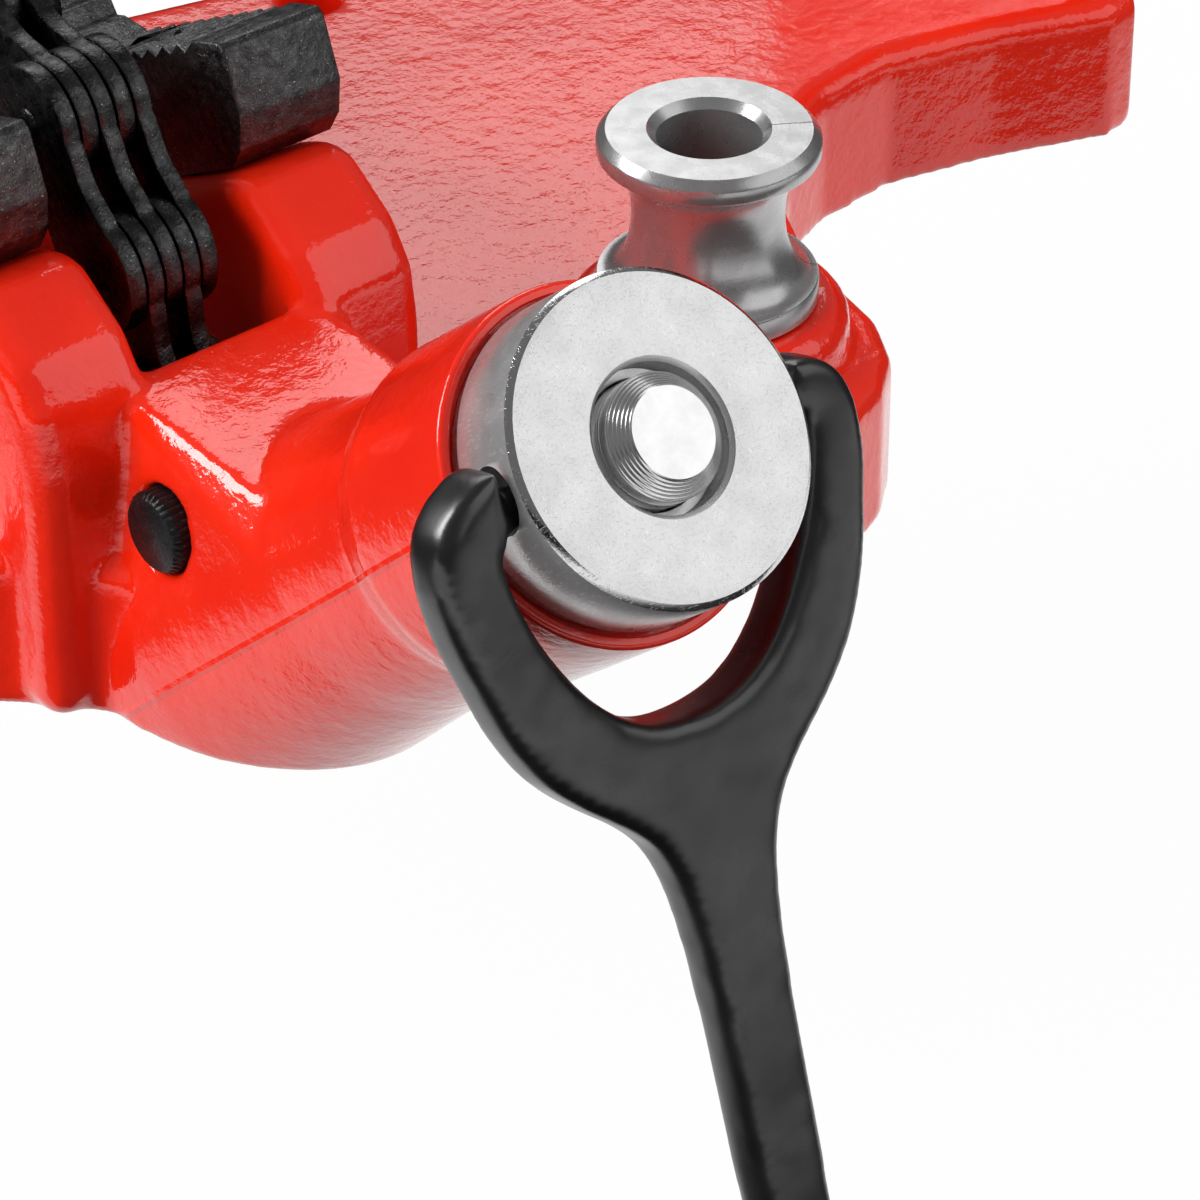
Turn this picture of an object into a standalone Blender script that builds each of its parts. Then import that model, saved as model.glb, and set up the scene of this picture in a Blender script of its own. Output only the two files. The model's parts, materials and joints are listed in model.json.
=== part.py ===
"""Bench chain pipe vise: a cast base with two toothed V jaws, a leaf chain drawn in by a screw
rod, a round nut turned by a forked handle, and a steel bending spool on the base.

Metres. X runs along the gripped pipe, the screw side faces -Y, Z is up. The underside of the base
is z = 0, and the screw axis meets it at the origin. The chain plane is x = 0."""
import math

import bmesh
import bpy
from mathutils import Matrix, Vector

# Screw axis and the pieces on it, measured along the axis from the origin
SCREW_TILT = math.radians(40.5)
BOSS_RADIUS = 0.0243
BOSS_FOOT_RADIUS = 0.0290
BOSS_FOOT_AT = 0.020
BOSS_WAIST_AT = 0.062
BOSS_WAIST_RADIUS = 0.0252
COLLAR_RADIUS = 0.0273
COLLAR_START = 0.085
COLLAR_FULL = 0.093
BOSS_FACE = 0.122
BOSS_LIP_ROUND = 0.0010
NUT_RADIUS = 0.025
NUT_BACK = 0.1223
NUT_FACE = 0.138
NUT_CHAMFER = 0.0007
NUT_MOUTH_RADIUS = 0.0112
NUT_MOUTH_DEPTH = 0.0050
NUT_MOUTH_CHAMFER = 0.0007
RECESS_DEPTH = 0.0026
RECESS_RADIUS = 0.0254
WASHER_RADIUS = 0.0240
WASHER_THICKNESS = 0.0020
HINGE_FROM_FACE = 0.008
HINGE_HOLE_RADIUS = 0.0036
HINGE_HOLE_DEPTH = 0.0085
ROD_RADIUS = 0.0095
ROD_PROUD = 0.0030
ROD_END_CHAMFER = 0.0027
ROD_INNER_CHAMFER = 0.0012
ROD_INNER_END = 0.0270
ROD_CLEARANCE = 0.0004
THREAD_CLEARANCE = 0.0004
PRONG_SLOT_END = 0.0500
CLEVIS_AT = 0.0367
CLEVIS_RADIUS = 0.0030
CLEVIS_HALF_LENGTH = 0.0088

# Guide pin and roller that turn the chain inside the block
GUIDE_AT = 0.0355
GUIDE_ABOVE_AXIS = 0.0193
ROLLER_RADIUS = 0.0083
GUIDE_PIN_RADIUS = 0.0064
GUIDE_HEAD_RADIUS = 0.0069
GUIDE_HEAD_LENGTH = 0.0051
GUIDE_SEAT = 0.0208
ROLLER_HEADROOM = 0.0008
KNURL_DEPTH = 0.0004
KNURL_COUNT = 30

# Chain
PITCH = 0.0254
LOBE_RADIUS = 0.0100
LOBE_STEPS = 7
LOBE_NECK = math.radians(62.0)
WAIST_HALF = 0.0074
WAIST_SHARE = 0.36
PLATE_THICKNESS = 0.0032
PLATE_STEP = 0.0035
CHAIN_SHIFT = -0.0024
CHAIN_PIN_RADIUS = 0.0030
CHAIN_PIN_PROUD = 0.0006
PIN_CLEARANCE = 0.0003
LINK_DEGREES = (-13.3, 56.0, 72.0, 52.0, 20.0, 4.0, -16.0, -44.0, -72.0, -86.0)

# Base plate, ears and upright
BASE_LENGTH = 0.297
PLATE_HEIGHT = 0.028
PLATE_ROUND = 0.004
BASE_OUTLINE_SHARES = (
    (-0.101, -0.011), (-0.084, -0.040), (-0.060, -0.080), (0.060, -0.110), (0.202, -0.143),
    (0.239, -0.144), (0.273, -0.157), (0.309, -0.157), (0.343, -0.144), (0.371, -0.121),
    (0.389, -0.090), (0.398, -0.050), (0.414, 0.000), (0.445, 0.059), (0.492, 0.101),
    (0.539, 0.121), (0.599, 0.128), (0.673, 0.111), (0.747, 0.084), (0.771, 0.089),
    (0.785, 0.108), (0.785, 0.397), (0.774, 0.417), (0.748, 0.424), (0.670, 0.418),
    (0.404, 0.444), (0.202, 0.492), (0.020, 0.505), (-0.148, 0.505), (-0.192, 0.478),
    (-0.212, 0.424), (-0.212, 0.148), (-0.199, 0.098), (-0.165, 0.054), (-0.128, 0.020),
)
POCKET_DEPTH = 0.018
POCKET_X_SHARES = (0.189, 0.694)
POCKET_Y_SHARES = (0.155, 0.323)
BOLT_HOLE_RADIUS = 0.0058
BOLT_PLACE_SHARES = ((-0.1684, 0.1549), (-0.1684, 0.4377), (0.3704, 0.4108), (0.6599, 0.3670))
BASE_END_SHARE = 0.785
UPRIGHT_THICKNESS = 0.0120
UPRIGHT_INSET = 0.0016
UPRIGHT_HALF = 0.044
UPRIGHT_TOP = 0.104
UPRIGHT_ROUND = 0.003
UPRIGHT_CORNER = 0.010
UPRIGHT_V_RUN = 0.0277
UPRIGHT_V_RISE = 0.0222

# Spool on its ear
SPOOL_X = 0.0865
SPOOL_Y = -0.0160
EAR_PAD_RADIUS = 0.0235
EAR_PAD_TOP = 0.0380
EAR_PAD_ROUND = 0.0025
SPOOL_RADIUS = 0.01836
SPOOL_NECK = 0.0126
SPOOL_HEIGHT = 0.0310
SPOOL_BORE = 0.0087
SPOOL_FLANGE = 0.0042
SPOOL_WAIST_STEPS = 7
SPOOL_CHAMFER = 0.0009
SPIGOT_RADIUS = 0.0084
SPIGOT_HEIGHT = 0.0090
SEAT_GAP = 0.0003

# Block, slot and cheeks
BLOCK_HALF = 0.0195
SLOT_HALF = 0.0150
BLOCK_FRONT = -0.050
BLOCK_FRONT_TOP = 0.0515
SLOT_FRONT = 0.0019
BLOCK_BACK_TOP = 0.0557
BLOCK_ROUND = 0.0022
CAVITY_FLOOR = 0.0055
CAVITY_BACK = 0.0330
CAVITY_TOE_RUN = 0.0100
CAVITY_TOE_RISE = 0.0050
CAVITY_SCREW_END = 0.0550
CHAIN_HEADROOM = 0.0003
CHEEK_HALF = 0.0380
CHEEK_ROUND = 0.0040
CHEEK_CROWN = 0.0260
CHEEK_CROWN_SHARES = ((0.66, 0.02), (0.25, 0.30), (0.06, 0.58), (0.0, 1.0))
HORN_DROP = 0.0140
HORN_STEP = 0.0070
BLOCK_FOOT_HALF = 0.0285
V_CENTRE = 0.0750
V_SLOPE = math.radians(27.9)
SEAT_BOTTOM = 0.0417
SEAT_RUN = 0.0560
CHEEK_FRONT = -0.0036
HORN_BACK = 0.1420
NOTCH_FROM = 0.1085

# Jaws
JAW_INNER = 0.0185
JAW_OUTER = 0.0385
JAW_BOTTOM_OF_V = 0.0663
JAW_NOSE_TOP = 0.0920
JAW_NOSE_OUT = 0.0570
JAW_PLATEAU = 0.0440
JAW_KEEL = 0.0055
JAW_NOSE_SHARES = ((0.895, 1.0), (0.921, 0.96), (0.991, 0.46), (0.982, 0.15))
JAW_NOSE_FOOT_SHARE = 0.939
TOOTH_COUNT = 10
TOOTH_DEPTH = 0.0018
TOOTH_START = 0.0030
JAW_SCREW_AT = 0.0300
JAW_SCREW_HEAD = 0.0048
JAW_SCREW_HEAD_LENGTH = 0.0055
JAW_SCREW_RADIUS = 0.0029
JAW_SCREW_GRIP = 0.0120
JAW_SCREW_SOCKET = 0.0022
JAW_SCREW_SOCKET_DEPTH = 0.0033
JAW_SCREW_SINK = 0.0080
JAW_SCREW_END_GAP = 0.0009

# Handle
HANDLE_LEAN = math.radians(17.0)
FORK_PAST_NUT = 0.0120
FORK_REACH = NUT_RADIUS + FORK_PAST_NUT
HANDLE_HALF_THICKNESS = 0.0050
HANDLE_ROUND = 0.0028
NIB_RADIUS = 0.0033
NIB_DEPTH = 0.0072
NIB_TIP = NUT_RADIUS - NIB_DEPTH
NIB_ROOT_SHARE = 0.85
FORK_SEAM_SHARE = 1.50
FORK_OUTER_SHARES = (
    (0.72, -0.12), (0.89, -0.12), (0.98, -0.05), (1.01, 0.16), (1.00, 0.43), (0.96, 0.68),
    (0.88, 0.90), (0.76, 1.11), (0.60, 1.28), (0.43, 1.43), (0.32, 1.56), (0.25, 1.72),
    (0.21, 1.92), (0.185, 2.20), (0.165, 3.00), (0.155, 4.00), (0.150, 5.70), (0.12, 6.02), (0.05, 6.14),
)
FORK_INNER_SHARES = (
    (0.12, 1.075), (0.30, 1.01), (0.46, 0.87), (0.60, 0.66), (0.70, 0.44), (0.755, 0.22), (0.765, 0.12),
    (0.72, 0.12),
)

SEGMENTS = 32
FINE_SEGMENTS = 48
RECESS_SEGMENTS = 44
SMALL_SEGMENTS = 12
HEX_SIDES = 6
ROUND_SEGMENTS = 3
EDGE_ANGLE = math.radians(30.0)
HANDLE_EDGE_ANGLE = math.radians(50.0)
FLAT_ANGLE = math.radians(1.0)
SMOOTH_ANGLE = math.radians(35.0)
MERGE = 0.00001
OVERSHOOT = 0.010

# Colour, roughness and metallic value of each finish
RED = ((0.78, 0.020, 0.012), 0.32, 0.0)
BLACK_STEEL = ((0.030, 0.030, 0.032), 0.48, 0.6)
CHAIN_STEEL = ((0.050, 0.050, 0.053), 0.45, 0.7)
ZINC = ((0.62, 0.62, 0.63), 0.30, 1.0)
VINYL = ((0.022, 0.022, 0.024), 0.40, 0.0)

# Directions in the chain plane
OUT = Vector((0.0, -math.cos(SCREW_TILT), math.sin(SCREW_TILT)))
ABOVE = Vector((0.0, math.sin(SCREW_TILT), math.cos(SCREW_TILT)))
ALONG_X = Vector((1.0, 0.0, 0.0))

for old in list(bpy.data.objects):
    bpy.data.objects.remove(old, do_unlink=True)
scene = bpy.context.scene
vise = bpy.data.collections.new("chain_pipe_vise")
scene.collection.children.link(vise)
guides = bpy.data.collections.new("cutters")
scene.collection.children.link(guides)


def material(name, colour, roughness, metallic):
    mat = bpy.data.materials.new(name)
    mat.use_nodes = True
    shader = mat.node_tree.nodes["Principled BSDF"]
    shader.inputs["Base Color"].default_value = (*colour, 1.0)
    shader.inputs["Roughness"].default_value = roughness
    shader.inputs["Metallic"].default_value = metallic
    mat.diffuse_color = (*colour, 1.0)
    return mat


def add_object(name, mesh, collection):
    obj = bpy.data.objects.new(name, mesh)
    collection.objects.link(obj)
    return obj


def from_bmesh(name, bm, collection=None):
    bmesh.ops.recalc_face_normals(bm, faces=bm.faces)
    mesh = bpy.data.meshes.new(name)
    bm.to_mesh(mesh)
    bm.free()
    return add_object(name, mesh, collection or guides)


def frame_of(origin, z_axis, x_axis=ALONG_X):
    """A placing whose local Z is z_axis and local X as near as may be to x_axis."""
    z_dir = z_axis.normalized()
    y_dir = z_dir.cross(x_axis).normalized()
    x_dir = y_dir.cross(z_dir)
    rot = Matrix((x_dir, y_dir, z_dir)).transposed().to_4x4()
    return Matrix.Translation(origin) @ rot


def prism(name, outline, near, far, placing=None):
    """A closed outline in local X-Y, extruded along local Z from near to far."""
    bm = bmesh.new()
    low = [bm.verts.new((x, y, near)) for x, y in outline]
    high = [bm.verts.new((x, y, far)) for x, y in outline]
    count = len(outline)
    bm.faces.new(low)
    bm.faces.new(high)
    for i in range(count):
        j = (i + 1) % count
        bm.faces.new((low[i], low[j], high[j], high[i]))
    obj = from_bmesh(name, bm)
    if placing is not None:
        obj.matrix_world = placing
    return obj


def side_placing():
    """Local X is world Y, local Y is world Z and local Z is world X."""
    return Matrix(((0, 0, 1, 0), (1, 0, 0, 0), (0, 1, 0, 0), (0, 0, 0, 1)))


def evaluated_mesh(obj):
    depsgraph = bpy.context.evaluated_depsgraph_get()
    return bpy.data.meshes.new_from_object(obj.evaluated_get(depsgraph))


def settle(obj):
    """Turn the modifiers of an object into plain mesh."""
    mesh = evaluated_mesh(obj)
    obj.modifiers.clear()
    obj.data = mesh
    return obj


def bake_placing(obj):
    obj.data.transform(obj.matrix_world)
    obj.matrix_world = Matrix.Identity(4)
    return obj


def bevel(obj, width, segments=2, angle=EDGE_ANGLE):
    mod = obj.modifiers.new("round", "BEVEL")
    mod.width = width
    mod.segments = segments
    mod.limit_method = "ANGLE"
    mod.angle_limit = angle
    mod.harden_normals = False
    return settle(obj)


def turned(name, profile, placing=None, steps=SEGMENTS):
    """A turned shape about local Z. The profile is (radius, height) from the top down."""
    mesh = bpy.data.meshes.new(name)
    verts = [(r, 0.0, z) for r, z in profile]
    edges = [(i, i + 1) for i in range(len(profile) - 1)]
    if profile[0][0] > 0.0:
        edges.append((len(profile) - 1, 0))
    mesh.from_pydata(verts, edges, [])
    obj = add_object(name, mesh, guides)
    mod = obj.modifiers.new("turn", "SCREW")
    mod.axis = "Z"
    mod.steps = steps
    mod.render_steps = steps
    mod.use_merge_vertices = True
    mod.merge_threshold = MERGE
    mod.use_normal_calculate = True
    settle(obj)
    bm = bmesh.new()
    bm.from_mesh(obj.data)
    bmesh.ops.remove_doubles(bm, verts=bm.verts, dist=MERGE)
    bmesh.ops.recalc_face_normals(bm, faces=bm.faces)
    bm.to_mesh(obj.data)
    bm.free()
    if placing is not None:
        obj.matrix_world = placing
    return obj


def rod_shape(name, radius, low, high, placing, steps=SEGMENTS):
    """A plain cylinder along local Z."""
    return turned(name, ((0.0, high), (radius, high), (radius, low), (0.0, low)), placing, steps)


def tidy(obj):
    """Weld the hair-thin faces a Boolean can leave."""
    bm = bmesh.new()
    bm.from_mesh(obj.data)
    bmesh.ops.remove_doubles(bm, verts=bm.verts, dist=MERGE)
    bmesh.ops.dissolve_degenerate(bm, edges=bm.edges, dist=MERGE)
    bm.to_mesh(obj.data)
    bm.free()


def combine(target, other, operation):
    mod = target.modifiers.new("combine", "BOOLEAN")
    mod.operation = operation
    mod.solver = "EXACT"
    mod.object = other
    settle(target)
    tidy(target)
    bpy.data.objects.remove(other, do_unlink=True)
    return target


def unite(target, *others):
    for other in others:
        combine(target, other, "UNION")
    return target


def cut(target, *others):
    for other in others:
        combine(target, other, "DIFFERENCE")
    return target


def finish(obj, name, look, origin=None, parent=None):
    """Name the piece, give it its material and put its origin at its own place or pivot."""
    bake_placing(obj)
    if origin is not None:
        obj.data.transform(Matrix.Translation(-origin))
        obj.location = origin
    obj.name = name
    obj.data.name = name
    guides.objects.unlink(obj)
    vise.objects.link(obj)
    obj.data.materials.clear()
    obj.data.materials.append(material(name + "_finish", *look))
    bpy.context.view_layer.objects.active = obj
    for other in bpy.context.selected_objects:
        other.select_set(False)
    obj.select_set(True)
    bpy.ops.object.shade_smooth()
    obj.data.set_sharp_from_angle(angle=SMOOTH_ANGLE)
    if parent is not None:
        bpy.context.view_layer.update()
        obj.parent = parent
        obj.matrix_parent_inverse = parent.matrix_world.inverted()
    return obj


def along_axis(distance):
    return OUT * distance


AXIS_PLACING = frame_of(Vector(), OUT)
GUIDE_CENTRE = along_axis(GUIDE_AT) + ABOVE * GUIDE_ABOVE_AXIS
HINGE_CENTRE = along_axis(NUT_FACE - HINGE_FROM_FACE)
CLEVIS_CENTRE = along_axis(CLEVIS_AT) + ALONG_X * CHAIN_SHIFT


def cross_placing(point):
    """Local Z along world X, through a point of the chain plane."""
    return Matrix.Translation(point) @ side_placing()


# Casting
def jaw_seat(y_offset):
    """Height of the V seat of the jaws at a distance from the middle of the V."""
    return SEAT_BOTTOM + abs(y_offset) * math.tan(V_SLOPE)


def make_plate():
    outline = [(x * BASE_LENGTH, y * BASE_LENGTH) for x, y in BASE_OUTLINE_SHARES]
    plate = prism("plate", outline, 0.0, PLATE_HEIGHT)
    bm = bmesh.new()
    bm.from_mesh(plate.data)
    rim = [e for e in bm.edges if all(v.co.z > PLATE_HEIGHT / 2 for v in e.verts)]
    bmesh.ops.bevel(bm, geom=rim, offset=PLATE_ROUND, segments=ROUND_SEGMENTS, profile=0.5, affect="EDGES")
    bm.to_mesh(plate.data)
    bm.free()
    return plate


def make_boss():
    profile = (
        (0.0, BOSS_FACE),
        (COLLAR_RADIUS - BOSS_LIP_ROUND, BOSS_FACE),
        (COLLAR_RADIUS, BOSS_FACE - BOSS_LIP_ROUND),
        (COLLAR_RADIUS, COLLAR_FULL),
        ((COLLAR_RADIUS + BOSS_RADIUS) / 2, (COLLAR_FULL + COLLAR_START) / 2),
        (BOSS_RADIUS, COLLAR_START),
        (BOSS_WAIST_RADIUS, BOSS_WAIST_AT),
        (BOSS_FOOT_RADIUS, BOSS_FOOT_AT),
        (BOSS_FOOT_RADIUS, -BOSS_FACE / 2),
        (0.0, -BOSS_FACE / 2),
    )
    boss = turned("boss", profile, AXIS_PLACING, FINE_SEGMENTS)
    below = prism("below", ((-BASE_LENGTH, -BASE_LENGTH), (BASE_LENGTH, -BASE_LENGTH),
                            (BASE_LENGTH, BASE_LENGTH), (-BASE_LENGTH, BASE_LENGTH)), -BASE_LENGTH, 0.0)
    return cut(boss, below)


def axis_height(y):
    """Height of the screw axis over a place in Y."""
    return -y * math.tan(SCREW_TILT)


def hull(name, points):
    """The convex body round some points."""
    bm = bmesh.new()
    verts = [bm.verts.new(p) for p in points]
    bmesh.ops.convex_hull(bm, input=verts)
    bmesh.ops.dissolve_limit(bm, angle_limit=FLAT_ANGLE, verts=bm.verts, edges=bm.edges)
    return from_bmesh(name, bm)


def make_block():
    """The block behind the boss: narrow at its top, as wide as the boss at the height of the screw axis."""
    back = SLOT_FRONT + OVERSHOOT
    points = []
    for side in (-1, 1):
        points += [
            (side * BLOCK_HALF, back, BLOCK_BACK_TOP), (side * BLOCK_HALF, BLOCK_FRONT, BLOCK_FRONT_TOP),
            (side * BLOCK_FOOT_HALF, back, 0.0), (side * BLOCK_FOOT_HALF, 0.0, 0.0),
            (side * BOSS_WAIST_RADIUS, BLOCK_FRONT, axis_height(BLOCK_FRONT)),
            (side * BLOCK_HALF / 2, BLOCK_FRONT, axis_height(BLOCK_FRONT) - BLOCK_HALF / 2),
        ]
    block = hull("block", points)
    return bevel(block, BLOCK_ROUND)


def cheek_outline():
    front_seat = V_CENTRE - SEAT_RUN
    back_seat = V_CENTRE + SEAT_RUN
    seat_top = jaw_seat(SEAT_RUN)
    points = [(CHEEK_FRONT, 0.0), (HORN_BACK, 0.0), (HORN_BACK, seat_top - HORN_DROP)]
    points += [(back_seat + HORN_STEP, seat_top), (back_seat, seat_top)]
    points += [(V_CENTRE, SEAT_BOTTOM), (front_seat, seat_top)]
    points += [(CHEEK_FRONT + y * CHEEK_CROWN, seat_top - z * CHEEK_CROWN) for y, z in CHEEK_CROWN_SHARES]
    return points


def make_cheek(side):
    low, high = sorted((side * SLOT_HALF, side * CHEEK_HALF))
    cheek = prism("cheek", cheek_outline(), low, high, side_placing())
    bake_placing(cheek)
    return bevel(cheek, CHEEK_ROUND)


def make_upright():
    """The pipe rest at the far end of the base: an upright with a V that lines up with the jaws."""
    low = V_CENTRE - UPRIGHT_HALF
    high = V_CENTRE + UPRIGHT_HALF
    arm_top = JAW_BOTTOM_OF_V + UPRIGHT_V_RISE
    outline = (
        (low, 0.0), (high, 0.0), (high, UPRIGHT_TOP - UPRIGHT_CORNER), (high - UPRIGHT_CORNER, UPRIGHT_TOP),
        (V_CENTRE + UPRIGHT_V_RUN, arm_top), (V_CENTRE, JAW_BOTTOM_OF_V),
        (V_CENTRE - UPRIGHT_V_RUN, arm_top),
        (low + UPRIGHT_CORNER, UPRIGHT_TOP), (low, UPRIGHT_TOP - UPRIGHT_CORNER),
    )
    far_x = BASE_END_SHARE * BASE_LENGTH - UPRIGHT_INSET
    upright = prism("upright", outline, far_x - UPRIGHT_THICKNESS, far_x, side_placing())
    bake_placing(upright)
    return bevel(upright, UPRIGHT_ROUND)


def ear_pad():
    profile = (
        (0.0, EAR_PAD_TOP + SPIGOT_HEIGHT),
        (SPIGOT_RADIUS, EAR_PAD_TOP + SPIGOT_HEIGHT),
        (SPIGOT_RADIUS, EAR_PAD_TOP),
        (EAR_PAD_RADIUS - EAR_PAD_ROUND, EAR_PAD_TOP),
        (EAR_PAD_RADIUS, EAR_PAD_TOP - EAR_PAD_ROUND),
        (EAR_PAD_RADIUS + EAR_PAD_ROUND, PLATE_HEIGHT / 2),
        (0.0, PLATE_HEIGHT / 2),
    )
    return turned("ear_pad", profile, Matrix.Translation((SPOOL_X, SPOOL_Y, 0.0)))


def chain_hollow():
    """Cutter of the space for the chain, the roller and the inner end of the rod."""
    head = LOBE_RADIUS + CHAIN_HEADROOM
    screw_end = along_axis(CAVITY_SCREW_END)
    end_above = screw_end + ABOVE * head
    end_below = screw_end - ABOVE * head
    toe = along_axis(ROD_INNER_END) - ABOVE * head
    ceiling = GUIDE_CENTRE.z + ROLLER_RADIUS + ROLLER_HEADROOM
    above_all = BLOCK_BACK_TOP + OVERSHOOT
    outline = (
        (SLOT_FRONT, above_all), (SLOT_FRONT, ceiling), (GUIDE_CENTRE.y - ROLLER_RADIUS, ceiling),
        (end_above.y, end_above.z), (end_below.y, end_below.z),
        (toe.y - CAVITY_TOE_RUN, CAVITY_FLOOR + CAVITY_TOE_RISE), (toe.y, CAVITY_FLOOR),
        (GUIDE_CENTRE.y + PITCH, CAVITY_FLOOR), (CAVITY_BACK, PLATE_HEIGHT), (CAVITY_BACK, above_all),
    )
    return prism("cavity", outline, -SLOT_HALF, SLOT_HALF, side_placing())


def screw_bore():
    radius = ROD_RADIUS + ROD_CLEARANCE
    return rod_shape("bore", radius, PRONG_SLOT_END, BOSS_FACE + OVERSHOOT, AXIS_PLACING)


def washer_recess():
    low = BOSS_FACE - RECESS_DEPTH
    return rod_shape("recess", RECESS_RADIUS, low, BOSS_FACE + OVERSHOOT, AXIS_PLACING, RECESS_SEGMENTS)


def guide_pin_cuts():
    """The cross hole of the guide pin and the spot face under its head."""
    placing = cross_placing(GUIDE_CENTRE)
    outside = -GUIDE_SEAT - OVERSHOOT
    hole = rod_shape("pin_hole", GUIDE_PIN_RADIUS + SEAT_GAP, outside, GUIDE_SEAT + OVERSHOOT, placing)
    spot = rod_shape("spot_face", GUIDE_HEAD_RADIUS + SEAT_GAP, outside, SEAT_GAP - GUIDE_SEAT, placing)
    return hole, spot


def rear_notch():
    """The open slot behind the V, where the spare end of the chain hangs."""
    wide = SLOT_HALF
    outline = ((-wide, NOTCH_FROM), (wide, NOTCH_FROM), (wide, BASE_LENGTH), (-wide, BASE_LENGTH))
    return prism("notch", outline, -OVERSHOOT, BASE_LENGTH)


def under_pocket():
    x_low, x_high = (share * BASE_LENGTH for share in POCKET_X_SHARES)
    y_low, y_high = (share * BASE_LENGTH for share in POCKET_Y_SHARES)
    outline = ((x_low, y_low), (x_high, y_low), (x_high, y_high), (x_low, y_high))
    return prism("pocket", outline, -OVERSHOOT, POCKET_DEPTH)


def make_casting():
    casting = make_plate()
    unite(casting, make_boss(), make_block(), make_cheek(-1), make_cheek(1), make_upright(), ear_pad())
    cut(casting, chain_hollow(), screw_bore(), washer_recess(), *guide_pin_cuts())
    cut(casting, rear_notch(), under_pocket())
    for x_share, y_share in BOLT_PLACE_SHARES:
        placing = Matrix.Translation((x_share * BASE_LENGTH, y_share * BASE_LENGTH, 0.0))
        top = PLATE_HEIGHT + OVERSHOOT
        cut(casting, rod_shape("bolt_hole", BOLT_HOLE_RADIUS, -OVERSHOOT, top, placing, SMALL_SEGMENTS))
    deep = -JAW_SCREW_GRIP - JAW_SCREW_END_GAP
    radius = JAW_SCREW_RADIUS + SEAT_GAP
    for side in (-1, 1):
        for end in (-1, 1):
            placing = jaw_screw_placing(side, end)
            cut(casting, rod_shape("screw_hole", radius, deep, OVERSHOOT, placing, SMALL_SEGMENTS))
    return finish(casting, "base_casting", RED)


def jaw_screw_placing(side, end):
    """Placing of a jaw screw: local Z points out of the V, its zero is on the seat of the jaw."""
    y = V_CENTRE + end * JAW_SCREW_AT
    normal = Vector((0.0, -end * math.sin(V_SLOPE), math.cos(V_SLOPE)))
    point = Vector((side * (JAW_INNER + JAW_OUTER) / 2, y, jaw_seat(JAW_SCREW_AT)))
    return frame_of(point, normal)


def jaw_outline():
    """Profile of a jaw in Y-Z: a V bar with a row of teeth on each arm, open side up."""
    half = []
    run = JAW_PLATEAU - TOOTH_START
    step = run / TOOTH_COUNT
    slope = math.tan(V_SLOPE)
    for i in range(TOOTH_COUNT):
        y = TOOTH_START + i * step
        half.append((y, JAW_BOTTOM_OF_V + y * slope))
        half.append((y + step / 2, JAW_BOTTOM_OF_V + (y + step / 2) * slope - TOOTH_DEPTH))
    half.append((JAW_PLATEAU, JAW_BOTTOM_OF_V + JAW_PLATEAU * slope))
    nose_base = jaw_seat(SEAT_RUN) + SEAT_GAP
    for out_share, up_share in JAW_NOSE_SHARES:
        half.append((out_share * JAW_NOSE_OUT, nose_base + up_share * (JAW_NOSE_TOP - nose_base)))
    foot = JAW_NOSE_FOOT_SHARE * JAW_NOSE_OUT
    half.append((foot, jaw_seat(foot) + SEAT_GAP))
    right = [(V_CENTRE + y, z) for y, z in half]
    left = [(V_CENTRE - y, z) for y, z in reversed(half)]
    keel_z = jaw_seat(JAW_KEEL) + SEAT_GAP
    return left + right + [(V_CENTRE + JAW_KEEL, keel_z), (V_CENTRE - JAW_KEEL, keel_z)]


def make_jaw(side):
    low, high = sorted((side * JAW_INNER, side * JAW_OUTER))
    jaw = prism("jaw", jaw_outline(), low, high, side_placing())
    bake_placing(jaw)
    above_all = JAW_NOSE_TOP
    for end in (-1, 1):
        placing = jaw_screw_placing(side, end)
        seat = JAW_SCREW_SINK - SEAT_GAP
        radius = JAW_SCREW_RADIUS + SEAT_GAP
        through = rod_shape("through", radius, -OVERSHOOT, above_all, placing, SMALL_SEGMENTS)
        sink = rod_shape("sink", JAW_SCREW_HEAD + SEAT_GAP, seat, above_all, placing, SMALL_SEGMENTS)
        cut(jaw, through, sink)
    name = "jaw_left" if side < 0 else "jaw_right"
    middle = Vector((side * (JAW_INNER + JAW_OUTER) / 2, V_CENTRE, SEAT_BOTTOM))
    return finish(jaw, name, BLACK_STEEL, middle)


def make_jaw_screw(side, end):
    placing = jaw_screw_placing(side, end)
    top = JAW_SCREW_SINK + JAW_SCREW_HEAD_LENGTH
    profile = (
        (0.0, top), (JAW_SCREW_HEAD - SEAT_GAP, top), (JAW_SCREW_HEAD, top - SEAT_GAP),
        (JAW_SCREW_HEAD, JAW_SCREW_SINK), (JAW_SCREW_RADIUS, JAW_SCREW_SINK),
        (JAW_SCREW_RADIUS, -JAW_SCREW_GRIP), (0.0, -JAW_SCREW_GRIP),
    )
    screw = turned("screw", profile, placing, SMALL_SEGMENTS)
    socket_floor = top - JAW_SCREW_SOCKET_DEPTH
    socket = rod_shape("socket", JAW_SCREW_SOCKET, socket_floor, top + OVERSHOOT, placing, HEX_SIDES)
    cut(screw, socket)
    name = "jaw_screw_" + ("left" if side < 0 else "right") + ("_front" if end < 0 else "_rear")
    return finish(screw, name, BLACK_STEEL, placing.translation.copy())


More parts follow.
